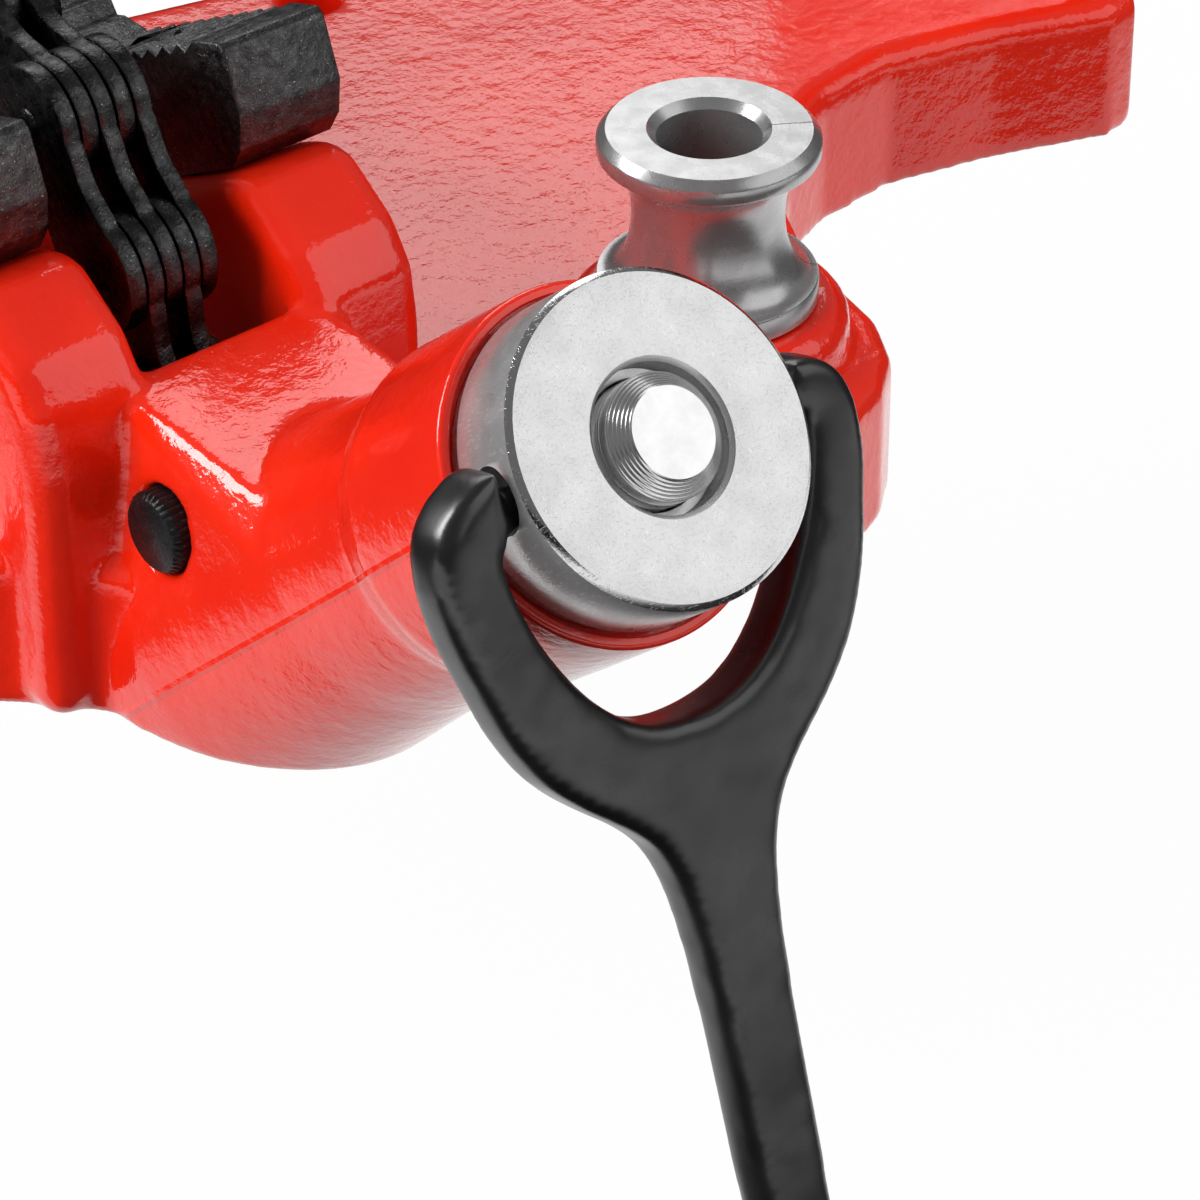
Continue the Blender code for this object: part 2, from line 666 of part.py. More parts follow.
# Screw, nut and handle
def make_rod():
    end = NUT_FACE + ROD_PROUD
    profile = (
        (0.0, end), (ROD_RADIUS - ROD_END_CHAMFER, end), (ROD_RADIUS, end - ROD_END_CHAMFER),
        (ROD_RADIUS, ROD_INNER_END + ROD_INNER_CHAMFER), (ROD_RADIUS - ROD_INNER_CHAMFER, ROD_INNER_END),
        (0.0, ROD_INNER_END),
    )
    rod = turned("rod", profile, AXIS_PLACING)
    half_slot = PLATE_THICKNESS / 2 + SEAT_GAP / 2
    for side in (-1, 1):
        middle = CHAIN_SHIFT + side * PLATE_STEP
        slot = prism("slot", ((middle - half_slot, -ROD_RADIUS * 2), (middle + half_slot, -ROD_RADIUS * 2),
                              (middle + half_slot, ROD_RADIUS * 2), (middle - half_slot, ROD_RADIUS * 2)),
                     0.0, PRONG_SLOT_END, AXIS_PLACING)
        cut(rod, slot)
    placing = cross_placing(CLEVIS_CENTRE)
    reach = ROD_RADIUS * 2
    cut(rod, rod_shape("hole", CLEVIS_RADIUS + PIN_CLEARANCE, -reach, reach, placing, SMALL_SEGMENTS))
    return finish(rod, "screw_rod", ZINC, along_axis(NUT_FACE))


def make_nut():
    bore = ROD_RADIUS + THREAD_CLEARANCE
    profile = (
        (NUT_MOUTH_RADIUS + NUT_MOUTH_CHAMFER, NUT_FACE), (NUT_RADIUS - NUT_CHAMFER, NUT_FACE),
        (NUT_RADIUS, NUT_FACE - NUT_CHAMFER), (NUT_RADIUS, NUT_BACK + NUT_CHAMFER),
        (NUT_RADIUS - NUT_CHAMFER, NUT_BACK), (bore, NUT_BACK), (bore, NUT_FACE - NUT_MOUTH_DEPTH),
        (NUT_MOUTH_RADIUS, NUT_FACE - NUT_MOUTH_DEPTH), (NUT_MOUTH_RADIUS, NUT_FACE - NUT_MOUTH_CHAMFER),
    )
    nut = turned("nut", profile, AXIS_PLACING, FINE_SEGMENTS)
    placing = cross_placing(HINGE_CENTRE)
    for side in (-1, 1):
        low, high = sorted((side * (NUT_RADIUS - HINGE_HOLE_DEPTH), side * (NUT_RADIUS + OVERSHOOT)))
        cut(nut, rod_shape("hinge_hole", HINGE_HOLE_RADIUS, low, high, placing, SMALL_SEGMENTS))
    return finish(nut, "round_nut", ZINC, along_axis(NUT_BACK))


def make_washer():
    low = BOSS_FACE - RECESS_DEPTH + SEAT_GAP
    high = low + WASHER_THICKNESS
    bore = ROD_RADIUS + THREAD_CLEARANCE * 2
    profile = ((bore, high), (WASHER_RADIUS, high), (WASHER_RADIUS, low), (bore, low))
    washer = turned("washer", profile, AXIS_PLACING)
    return finish(washer, "thrust_washer", ZINC, along_axis(low))


def handle_placing():
    """Local X across the fork, local Y down the handle, zero on the hinge axis of the nut."""
    down = Vector((0.0, -math.sin(HANDLE_LEAN), -math.cos(HANDLE_LEAN)))
    return frame_of(HINGE_CENTRE, ALONG_X.cross(down), ALONG_X)


def handle_body():
    """The whole handle as one flat bar with rounded edges: fork, neck and grip."""
    outer = [(x * FORK_REACH, y * FORK_REACH) for x, y in FORK_OUTER_SHARES]
    inner = [(x * FORK_REACH, y * FORK_REACH) for x, y in FORK_INNER_SHARES]
    outline = outer + [(-x, y) for x, y in reversed(outer)]
    outline += [(-x, y) for x, y in reversed(inner)] + inner
    body = prism("handle", outline, -HANDLE_HALF_THICKNESS, HANDLE_HALF_THICKNESS, handle_placing())
    bake_placing(body)
    return bevel(body, HANDLE_ROUND, 2, HANDLE_EDGE_ANGLE)


def handle_cutter(low, high):
    """A wide box over part of the handle's length."""
    wide = FORK_REACH * 2
    thick = HANDLE_HALF_THICKNESS * 2
    outline = ((-wide, low), (wide, low), (wide, high), (-wide, high))
    return prism("cutter", outline, -thick, thick, handle_placing())


def make_handle():
    """The fork and the bar below it, parted at a seam in the neck."""
    seam = FORK_SEAM_SHARE * FORK_REACH
    fork = cut(handle_body(), handle_cutter(seam, BASE_LENGTH))
    for side in (-1, 1):
        low, high = sorted((side * NIB_TIP, side * NIB_ROOT_SHARE * FORK_REACH))
        unite(fork, rod_shape("nib", NIB_RADIUS, low, high, cross_placing(HINGE_CENTRE), SMALL_SEGMENTS))
    bar = cut(handle_body(), handle_cutter(-FORK_REACH, seam + SEAT_GAP))
    return finish(fork, "fork_handle", VINYL, HINGE_CENTRE), finish(bar, "handle_bar", VINYL, HINGE_CENTRE)


# Guide pin, roller and spool
def make_guide_pin():
    placing = cross_placing(GUIDE_CENTRE)
    inner = -GUIDE_SEAT
    outer = inner - GUIDE_HEAD_LENGTH
    step = math.pi / KNURL_COUNT
    ring = []
    for i in range(KNURL_COUNT * 2):
        radius = GUIDE_HEAD_RADIUS - (KNURL_DEPTH if i % 2 else 0.0)
        ring.append((radius * math.cos(i * step), radius * math.sin(i * step)))
    head = prism("head", ring, outer, inner, placing)
    bake_placing(head)
    shaft = rod_shape("shaft", GUIDE_PIN_RADIUS, inner - GUIDE_HEAD_LENGTH / 2, GUIDE_SEAT, placing)
    unite(head, shaft)
    return finish(head, "guide_pin", BLACK_STEEL, GUIDE_CENTRE)


def make_roller():
    half = SLOT_HALF - SEAT_GAP * 2
    bore = GUIDE_PIN_RADIUS + SEAT_GAP
    profile = ((bore, half), (ROLLER_RADIUS, half), (ROLLER_RADIUS, -half), (bore, -half))
    roller = turned("roller", profile, cross_placing(GUIDE_CENTRE))
    return finish(roller, "guide_roller", BLACK_STEEL, GUIDE_CENTRE)


def make_clevis_pin():
    placing = cross_placing(along_axis(CLEVIS_AT))
    pin = rod_shape("pin", CLEVIS_RADIUS, -CLEVIS_HALF_LENGTH, CLEVIS_HALF_LENGTH, placing, SMALL_SEGMENTS)
    return finish(pin, "rod_clevis_pin", BLACK_STEEL, CLEVIS_CENTRE)


def make_spool():
    half = SPOOL_HEIGHT / 2
    edge = half - SPOOL_FLANGE
    cavity_run = SPOOL_RADIUS - SPOOL_NECK
    outer = [(SPOOL_RADIUS - SPOOL_CHAMFER, half), (SPOOL_RADIUS, half - SPOOL_CHAMFER)]
    outer.append((SPOOL_RADIUS, edge))
    for i in range(1, SPOOL_WAIST_STEPS):
        angle = math.pi * i / SPOOL_WAIST_STEPS
        outer.append((SPOOL_RADIUS - cavity_run * math.sin(angle), edge * math.cos(angle)))
    outer += [(SPOOL_RADIUS, -edge), (SPOOL_RADIUS, SPOOL_CHAMFER - half)]
    outer += [(SPOOL_RADIUS - SPOOL_CHAMFER, -half)]
    inner = [(SPOOL_BORE, -half), (SPOOL_BORE, half - SPOOL_CHAMFER)]
    profile = [(SPOOL_BORE + SPOOL_CHAMFER, half)] + outer + inner
    centre = Vector((SPOOL_X, SPOOL_Y, EAR_PAD_TOP + SEAT_GAP + half))
    spool = turned("spool", profile, Matrix.Translation(centre))
    return finish(spool, "bending_spool", ZINC, centre)


# Chain
def lobe(centre_x, start):
    """Points of one round end of a chain plate, from a start angle on anticlockwise."""
    turn = 2 * math.pi - 2 * LOBE_NECK
    angles = [start + LOBE_NECK + turn * i / (LOBE_STEPS - 1) for i in range(LOBE_STEPS)]
    return [(centre_x + LOBE_RADIUS * math.cos(a), LOBE_RADIUS * math.sin(a)) for a in angles]


def plate_outline():
    """Figure-eight outline of a chain plate, from the origin to one pitch along local X."""
    near = PITCH * WAIST_SHARE
    far = PITCH - near
    points = lobe(0.0, 0.0) + [(near, -WAIST_HALF), (far, -WAIST_HALF)]
    return points + lobe(PITCH, math.pi) + [(far, WAIST_HALF), (near, WAIST_HALF)]


def link_placing(point, angle):
    """Local X along the link in the chain plane, local Z along world X."""
    along = Vector((0.0, math.cos(angle), math.sin(angle)))
    up = Vector((0.0, -math.sin(angle), math.cos(angle)))
    rot = Matrix((along, up, ALONG_X)).transposed().to_4x4()
    return Matrix.Translation(point) @ rot


def chain_plate(name, offset, placing):
    return prism(name, plate_outline(), offset - PLATE_THICKNESS / 2, offset + PLATE_THICKNESS / 2, placing)


def pin_placings(placing):
    return [placing @ Matrix.Translation((shift, 0.0, 0.0)) for shift in (0.0, PITCH)]


def inner_link(index, point, angle):
    """Two loose plates that turn together between the plates of their neighbours."""
    placing = link_placing(point, angle)
    radius = CHAIN_PIN_RADIUS + PIN_CLEARANCE
    for side in (-1, 1):
        plate = chain_plate("plate", side * PLATE_STEP, placing)
        for centre in pin_placings(placing):
            cut(plate, rod_shape("hole", radius, -LOBE_RADIUS, LOBE_RADIUS, centre, SMALL_SEGMENTS))
        word = "left" if side < 0 else "right"
        finish(plate, "chain_link_%02d_plate_%s" % (index, word), CHAIN_STEEL, point.copy())


def outer_link(index, point, angle):
    """Three plates and the two pins riveted in them, as one piece."""
    placing = link_placing(point, angle)
    reach = 2 * PLATE_STEP + PLATE_THICKNESS / 2 + CHAIN_PIN_PROUD
    link = chain_plate("plate", 0.0, placing)
    for centre in pin_placings(placing):
        unite(link, rod_shape("pin", CHAIN_PIN_RADIUS, -reach, reach, centre, SMALL_SEGMENTS))
    for side in (-1, 1):
        unite(link, chain_plate("plate", side * 2 * PLATE_STEP, placing))
    finish(link, "chain_link_%02d" % index, CHAIN_STEEL, point.copy())


make_casting()
for jaw_side in (-1, 1):
    make_jaw(jaw_side)
    for jaw_end in (-1, 1):
        make_jaw_screw(jaw_side, jaw_end)
make_rod()
make_nut()
make_washer()
make_handle()
make_guide_pin()
make_roller()
make_clevis_pin()
make_spool()

pivot = CLEVIS_CENTRE.copy()
for number, link_angle in enumerate(map(math.radians, LINK_DEGREES), start=1):
    if number % 2:
        inner_link(number, pivot, link_angle)
    else:
        outer_link(number, pivot, link_angle)
    pivot = pivot + PITCH * Vector((0.0, math.cos(link_angle), math.sin(link_angle)))

for spare in list(guides.objects):
    bpy.data.objects.remove(spare, do_unlink=True)
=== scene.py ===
"""Dressed scene of a bench chain pipe vise: finishes, fine shapes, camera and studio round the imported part.

Metres, in the part's own frame: X along the gripped pipe, the screw side faces -Y, Z is up."""
import json
import math

import bmesh
import bpy
import numpy as np
from mathutils import Matrix, Vector


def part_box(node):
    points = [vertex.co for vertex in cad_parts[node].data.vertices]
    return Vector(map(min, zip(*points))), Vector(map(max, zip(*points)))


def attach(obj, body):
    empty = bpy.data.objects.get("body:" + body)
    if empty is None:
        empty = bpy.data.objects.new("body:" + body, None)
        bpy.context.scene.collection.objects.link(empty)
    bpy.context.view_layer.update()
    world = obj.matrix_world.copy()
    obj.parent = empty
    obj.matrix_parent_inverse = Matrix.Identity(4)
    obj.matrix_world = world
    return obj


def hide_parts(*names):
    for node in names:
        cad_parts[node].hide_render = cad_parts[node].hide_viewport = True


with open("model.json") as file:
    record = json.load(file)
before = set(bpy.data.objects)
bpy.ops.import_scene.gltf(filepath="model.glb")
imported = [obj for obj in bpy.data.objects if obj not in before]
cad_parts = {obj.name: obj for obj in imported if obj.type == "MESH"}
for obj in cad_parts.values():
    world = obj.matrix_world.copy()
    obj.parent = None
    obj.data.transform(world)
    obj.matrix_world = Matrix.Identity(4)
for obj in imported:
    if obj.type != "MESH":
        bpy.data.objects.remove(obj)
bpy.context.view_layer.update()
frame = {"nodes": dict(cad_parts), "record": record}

NODES = frame["nodes"]
JOINTS = {joint["name"]: joint for joint in frame["record"]["behaviour"]["joints"]}

# Directions and places read from the frame
ALONG_X = Vector((1.0, 0.0, 0.0))
UPWARD = Vector((0.0, 0.0, 1.0))
OUT = Vector(JOINTS["nut_spin"]["axis"]).normalized()
ABOVE = ALONG_X.cross(OUT) * -1.0
HINGE = Vector(JOINTS["handle_swing"]["pos_m"])
GUIDE = Vector(JOINTS["roller_spin"]["pos_m"])

# Camera fitted to the photograph
CAMERA_PLACE = Vector((-0.4245, -0.5942, 0.5066))
CAMERA_AZIMUTH = math.radians(-40.16)
CAMERA_ELEVATION = math.radians(34.48)
CAMERA_LENS = 164.16
CAMERA_SENSOR = 36.0
CAMERA_NEAR = 0.01
CAMERA_FAR = 50.0

# Meshes in general
TURNED_SEGMENTS = 160
SMOOTH_ANGLE = math.radians(38.0)
WELD_DISTANCE = 0.000005
TINY = 1e-6

# Cast skin. The collar round the nut keeps its true radius and most of its sharpness
SKIN_VOXEL = 0.0009
SKIN_SMOOTHING = 0.0011
SKIN_END = 0.1125
COLLAR_RADIUS = 0.0273
COLLAR_FROM = 0.097
COLLAR_FADE = 0.008
COLLAR_SOFTNESS = 0.15
COLLAR_PULL_OVER = 0.006
COLLAR_PULL_WITHIN = 0.0012

# Boss lip and recess
BOSS_FACE = 0.122
LIP_FROM = 0.1085
LIP_ROUND = 0.0009
LIP_STEPS = 6
RECESS_RADIUS = 0.0254
RECESS_DEPTH = 0.0026
RECESS_CHAMFER = 0.0003
RECESS_ROD_GAP = 0.0004

# Nut. Its hinge holes sit a little above the hinge, as in the photograph
NUT_RADIUS = 0.025
NUT_BACK = 0.1223
NUT_FACE = 0.138
NUT_CHAMFER = 0.0009
NUT_EDGE_SHARE = 0.9
NUT_EDGE_ROUND = 0.00016
NUT_EDGE_ANGLE = math.radians(25.0)
NUT_BORE = 0.0099
NUT_MOUTH = 0.0112
NUT_MOUTH_DEPTH = 0.0050
NUT_MOUTH_CHAMFER = 0.0007
HOLE_RADIUS = 0.0052
HOLE_RISE = 0.0015
HOLE_CHAMFER = 0.0004
HOLE_MOUTH = 0.001
HOLE_FLARE = 0.006
HOLE_DEPTH = 0.0085
HOLE_SEGMENTS = 48

# Rod. The land and the root are shares of the thread's pitch and depth
ROD_RADIUS = 0.0095
ROD_PROUD = 0.0030
ROD_TIP_RADIUS = 0.0068
ROD_SEGMENTS = 120
ROD_SMOOTH_ANGLE = math.radians(30.0)
THREAD_PITCH = 0.00254
THREAD_DEPTH = 0.0013
THREAD_FROM = 0.1100
THREAD_CLEAR = 0.0016
THREAD_LAND = 0.12
THREAD_ROOT = 0.85
THREAD_RINGS = 36
RING_STEP = 0.00045
RING_DEPTH = 0.000045

# Spool
SPOOL_RADIUS = 0.01836
SPOOL_NECK = 0.0126
SPOOL_HEIGHT = 0.0310
SPOOL_BORE = 0.0087
SPOOL_FLANGE = 0.0042
SPOOL_CHAMFER = 0.0015
SPOOL_ARRIS = 0.0002
SPOOL_FOOT = 0.0003
SPOOL_WAIST_STEPS = 40
SPOOL_WAIST_POWER = 0.9

# Guide pin
PIN_RADIUS = 0.0064
PIN_HEAD_RADIUS = 0.0069
PIN_HEAD_LENGTH = 0.0051
PIN_HEAD_CHAMFER = 0.0011
PIN_ARRIS_DEEP = 0.0002
PIN_ARRIS_WIDE = 0.0003
PIN_IN_HEAD = 0.001
PIN_TAIL_CHAMFER = 0.0006
PIN_SEGMENTS = 64
KNURL_DEPTH = 0.00035
KNURL_COUNT = 34
KNURL_STEPS = 8

# Chain. The pin's dome is given as shares of its radius and drops below its top
LINK_COUNT = 10
PITCH = 0.0254
LOBE_RADIUS = 0.0100
LOBE_STEPS = 22
NECK_ANGLE = math.radians(58.0)
WAIST_HALF = 0.0074
WAIST_STEPS = 8
PLATE_THICKNESS = 0.0032
PLATE_STEP = 0.0035
PLATE_EDGE = 0.0004
PLATE_EDGE_ANGLE = math.radians(60.0)
CHAIN_PIN_RADIUS = 0.0030
CHAIN_PIN_PROUD = 0.0006
CHAIN_PIN_DOME = ((0.0, 0.0), (0.5, 0.00008), (0.85, 0.00028), (1.0, CHAIN_PIN_PROUD))
CHAIN_PIN_SEGMENTS = 40

# Jaws
JAW_FLAT_ANGLE = math.radians(1.0)
JAW_EDGE = 0.0004
JAW_EDGE_ANGLE = math.radians(22.0)

# Fork handle. The shares are of its reach, about half its width; the second of each pair runs down
HANDLE_LEAN = math.radians(17.0)
HANDLE_HALF_THICKNESS = 0.0050
FORK_REACH = 0.0370
FORK_SPACING = 0.0020
FORK_EDGE = 0.0032
FORK_EDGE_STEPS = 5
FORK_EDGE_ANGLE = math.radians(60.0)
FORK_VOXEL = 0.0006
FORK_SMOOTHING = 0.0021
FORK_SMOOTH_ANGLE = math.radians(80.0)
NIB_RADIUS = 0.0033
NIB_TIP = 0.0178
NIB_ROOT_SHARE = 0.88
NIB_SEGMENTS = 32
PRONG_RIGHT_SHARES = (
    (0.72, -0.11), (0.85, -0.09), (0.96, -0.015), (1.02, 0.12), (1.03, 0.33), (0.985, 0.55),
)
PRONG_LEFT_SHARES = (
    (0.695, -0.21), (0.79, -0.20), (0.92, -0.14), (1.03, -0.03), (1.07, 0.14), (1.045, 0.38),
)
FORK_OUTER_SHARES = (
    (0.95, 0.70), (0.88, 0.90), (0.76, 1.11), (0.60, 1.28), (0.43, 1.43), (0.32, 1.56), (0.25, 1.72),
    (0.21, 1.92), (0.185, 2.20), (0.165, 3.00), (0.155, 4.00), (0.150, 5.70), (0.12, 6.02), (0.05, 6.14),
)
FORK_INNER_SHARES = (
    (0.12, 1.075), (0.30, 1.01), (0.46, 0.87), (0.60, 0.66), (0.70, 0.44), (0.755, 0.22), (0.765, 0.12),
    (0.72, 0.12),
)

# Colours
RED_DEEP = (0.82, 0.014, 0.002)
RED_BRIGHT = (0.90, 0.022, 0.003)
PLATED_GREY = (0.77, 0.77, 0.775)
PLATED_EDGE_GREY = (0.74, 0.74, 0.745)
TURNED_GREY = (0.50, 0.50, 0.505)
ROD_GREY = (0.90, 0.90, 0.90)
JAW_GREY = (0.075, 0.075, 0.076)
JAW_WORN_GREY = (0.26, 0.26, 0.265)
CHAIN_GREY = (0.042, 0.042, 0.043)
CHAIN_WORN_GREY = (0.30, 0.30, 0.302)
PIN_GREY = (0.010, 0.010, 0.011)
DIP_DEEP = (0.0050, 0.0050, 0.0058)
DIP_PALE = (0.0085, 0.0085, 0.0095)
CRACK_GREY = (0.05, 0.05, 0.05)

# How much lighter or darker than its own colour a finish gets in places
PLATED_PALE = 1.16
PLATED_DULL = 0.975
TURNED_STAIN = 0.90
BLACK_PALE = 2.1
# Painted glints: how much brighter than their own colour the specks of the black steels get
BLACK_GLINT = 9.0

# Relief of the finishes: size and depth of the bumps, then detail and roughness of their noise
COAT_WAVE = (0.0090, 0.00022, 2.0, 0.5)
COAT_PEEL = (0.0026, 0.00016, 3.0, 0.6)
COAT_FINE = (0.0009, 0.00002, 2.0, 0.5)
PLATED_GRAIN = (0.00035, 0.000014, 3.0, 0.6)
DIP_SAG = (0.016, 0.0006, 2.0, 0.5)
DIP_FINE = (0.0009, 0.000008, 3.0, 0.5)

# Pits and specks: how far apart they are, their depth, and where in that distance they end
COAT_PIT = (0.0075, -0.00006, 0.05)
DIP_SPECK = (0.0075, 0.00005, 0.035)

# Scratches of the plated steel: size, stretch, turn in degrees, and the band of noise over which they show
DASHES = (
    (0.0013, (5.5, 1.0, 1.0), 14.0, 0.62, 0.70),
    (0.0012, (1.0, 6.0, 1.0), 58.0, 0.63, 0.71),
)
DASH_DETAIL = 1.0
DASH_ROUGHNESS = 0.4
DASH_DEPTH = 0.000012

# Bands of noise over which clouds of colour and patches of roughness change
CLOUD_BAND = (0.35, 0.65)
PATCH_BAND = (0.3, 0.7)
SOFT_DETAIL = 3.0

# Mould line on the boss
SEAM_AT = -0.0045
SEAM_DRIFT = 0.045
SEAM_HALF = 0.0008
SEAM_SIDE = 0.0225
SEAM_START = 0.006
SEAM_FADE = SEAM_HALF * 4
SEAM_DEPTH = 0.00022

# Hairline crack in the top of the spool
HAIRLINE = Vector((0.831, -0.557, 0.0))
HAIRLINE_HALF = 0.00016
HAIRLINE_CORE_SHARE = 0.4
HAIRLINE_WANDER = 0.0003
HAIRLINE_WANDER_SIZE = 0.004

# Floor as seen and as mirrored, and the room round it. FRONT_FROM and BACK_FROM are places on the
# way backward, and the other distances are from the centre
FLOOR_HEIGHT = -0.1345
FLOOR_HALF = 4.0
FLOOR_GLOW = 0.96
FLOOR_PALE = 0.93
FLOOR_BOUNCE = 0.35
FLOOR_MIRRORED = 1.0
FLOOR_CENTRE = (0.10, 0.0, FLOOR_HEIGHT)
FLOOR_BRIGHT_TO = 0.345
FLOOR_DARK_FROM = 0.480
FLOOR_BACKWARD = (0.60, 1.0, 0.0)
FRONT_DARK_TO = 0.42
FRONT_BRIGHT_FROM = 0.75
FRONT_FROM = -0.088
BACK_FROM = -0.056
ROOM_DARK = 0.03
ROOM_RADIUS = 2.6
ROOM_TOP = 0.60
ROOM_SEGMENTS = 48
MATT_ROUGHNESS = 0.9

# Light that the world gives to matt and to glossy surfaces, and the point that the lamps shine at
WORLD_LEVEL = 0.26
ROOM_MIRRORED = 0.15
LIGHT_TARGET = Vector((0.0, -0.04, 0.04))


# Mesh helpers
def add_object(name, data):
    obj = bpy.data.objects.new(name, data)
    bpy.context.scene.collection.objects.link(obj)
    return obj


def object_from(name, verts, faces, placing=None):
    mesh = bpy.data.meshes.new(name)
    mesh.from_pydata([tuple(v) for v in verts], [], [tuple(f) for f in faces])
    mesh.update()
    obj = add_object(name, mesh)
    if placing is not None:
        obj.matrix_world = placing
    return obj


def remove(obj):
    bpy.data.objects.remove(obj, do_unlink=True)


def edit_mesh(obj, change):
    """Make a change to an object's mesh by way of bmesh."""
    bm = bmesh.new()
    bm.from_mesh(obj.data)
    change(bm)
    bm.to_mesh(obj.data)
    bm.free()


def shade(obj, angle=SMOOTH_ANGLE):
    """Smooth shading, apart from edges sharper than the angle."""
    obj.data.polygons.foreach_set("use_smooth", [True] * len(obj.data.polygons))
    obj.data.set_sharp_from_angle(angle=angle)


def weld(bm):
    bmesh.ops.remove_doubles(bm, verts=bm.verts, dist=WELD_DISTANCE)
    bmesh.ops.recalc_face_normals(bm, faces=bm.faces)


def fix_normals(obj):
    """Weld an object's mesh and turn its faces outward."""
    edit_mesh(obj, weld)
    return obj


def axes(x_dir, y_dir, z_dir):
    return Matrix((x_dir, y_dir, z_dir)).transposed().to_4x4()


def frame_of(origin, z_axis):
    """A placing at the origin with its Z along the axis and its X near the part's own."""
    z_dir = z_axis.normalized()
    y_dir = z_dir.cross(ALONG_X).normalized()
    return Matrix.Translation(origin) @ axes(y_dir.cross(z_dir), y_dir, z_dir)


# Placing of a shape turned about the screw's axis, and a turn that lays a shape's Z along X
AXIS_PLACING = frame_of(Vector(), OUT)
SIDE_TURN = Matrix(((0, 0, 1, 0), (1, 0, 0, 0), (0, 1, 0, 0), (0, 0, 0, 1)))


def turns(segments):
    """Angles of a full turn."""
    return [2 * math.pi * k / segments for k in range(segments)]


def polar(radius, angle, height):
    return radius * math.cos(angle), radius * math.sin(angle), height


def ring_faces(rings, segments):
    """Faces between rings of points that follow one another."""
    faces = []
    for ring in range(rings - 1):
        here = ring * segments
        there = here + segments
        for k in range(segments):
            m = (k + 1) % segments
            faces.append((here + k, here + m, there + m, there + k))
    return faces


def lathe(name, profile, placing=None, segments=TURNED_SEGMENTS, closed=True):
    """A turned shape about local Z. Its profile of (radius, height) is closed on itself or open."""
    count = len(profile)
    verts = [polar(radius, angle, height) for angle in turns(segments) for radius, height in profile]
    faces = []
    for i in range(segments):
        here = i * count
        there = (i + 1) % segments * count
        for k in range(count if closed else count - 1):
            m = (k + 1) % count
            faces.append((here + k, here + m, there + m, there + k))
    return fix_normals(object_from(name, verts, faces, placing))


def prism(name, outline, near, far, placing):
    count = len(outline)
    verts = [(x, y, near) for x, y in outline] + [(x, y, far) for x, y in outline]
    faces = [tuple(range(count)), tuple(range(count, 2 * count))]
    return fix_normals(object_from(name, verts, faces + ring_faces(2, count), placing))


def settle(obj):
    """Apply an object's modifiers."""
    depsgraph = bpy.context.evaluated_depsgraph_get()
    mesh = bpy.data.meshes.new_from_object(obj.evaluated_get(depsgraph))
    obj.modifiers.clear()
    obj.data = mesh
    return obj


def bake(obj):
    """Put an object's placing into its mesh."""
    obj.data.transform(obj.matrix_world)
    obj.matrix_world = Matrix.Identity(4)
    return obj


def lay_on_axis(obj):
    """Give a baked object the screw's axis as its own Z, which its rings and scratches follow."""
    obj.data.transform(AXIS_PLACING.inverted())
    obj.matrix_world = AXIS_PLACING


def copy_of(node, name):
    """A welded copy of a CAD node's mesh in the part's frame."""
    source = NODES[node]
    mesh = source.data.copy()
    mesh.transform(source.matrix_world)
    mesh.materials.clear()
    return fix_normals(add_object(name, mesh))


def bevel(obj, width, segments, angle, worn_slot=None):
    """Round the edges sharper than the angle. They take the material in the worn slot if one is named."""
    mod = obj.modifiers.new("edge", "BEVEL")
    mod.width = width
    mod.segments = segments
    mod.limit_method = "ANGLE"
    mod.angle_limit = angle
    mod.use_clamp_overlap = True
    if worn_slot is not None:
        mod.material = worn_slot
    settle(obj)


def cut(obj, tool):
    """Take the tool's shape away from an object."""
    mod = obj.modifiers.new("cut", "BOOLEAN")
    mod.operation = "DIFFERENCE"
    mod.solver = "EXACT"
    mod.object = tool
    settle(obj)
    remove(tool)


def join(name, objects):
    """One object from several; all are baked into the part's frame."""
    bm = bmesh.new()
    for obj in objects:
        bake(obj)
        bm.from_mesh(obj.data)
    mesh = bpy.data.meshes.new(name)
    bm.to_mesh(mesh)
    bm.free()
    for obj in objects:
        remove(obj)
    return add_object(name, mesh)


def remesh(obj, voxel):
    mod = obj.modifiers.new("remesh", "REMESH")
    mod.mode = "VOXEL"
    mod.voxel_size = voxel
    return settle(obj)


def take_arrays(obj):
    """Points and four-sided faces of a remeshed object as arrays. The object is removed."""
    mesh = obj.data
    verts = np.empty(len(mesh.vertices) * 3)
    mesh.vertices.foreach_get("co", verts)
    loops = np.empty(len(mesh.loops), dtype=np.int64)
    mesh.loops.foreach_get("vertex_index", loops)
    remove(obj)
    return verts.reshape(-1, 3), loops.reshape(-1, 4)


def edge_pairs(quads):
    pairs = np.concatenate([quads[:, (0, 1)], quads[:, (1, 2)], quads[:, (2, 3)], quads[:, (3, 0)]])
    pairs.sort(axis=1)
    return np.unique(pairs, axis=0)


def smooth_verts(verts, quads, spread, voxel, weight=None):
    """Even out a voxel mesh over about the given spread, so that its edges become cast fillets."""
    first, second = edge_pairs(quads).T
    count = len(verts)
    degree = (np.bincount(first, minlength=count) + np.bincount(second, minlength=count)).astype(float)
    steps = max(2, int(round((2 * spread / voxel) ** 2)))
    factor = 0.5 if weight is None else 0.5 * weight[:, None]
    result = verts.copy()
    for _ in range(steps):
        total = np.empty_like(result)
        for axis in range(3):
            values = result[:, axis]
            ahead = np.bincount(first, values[second], count)
            total[:, axis] = ahead + np.bincount(second, values[first], count)
        result += factor * (total / degree[:, None] - result)
    return result


def between(first, second, first_at, second_at, at):
    """A point on the line through two points, each of which has its own place on a scale."""
    reach = second_at - first_at
    return first * ((second_at - at) / reach) + second * ((at - first_at) / reach)


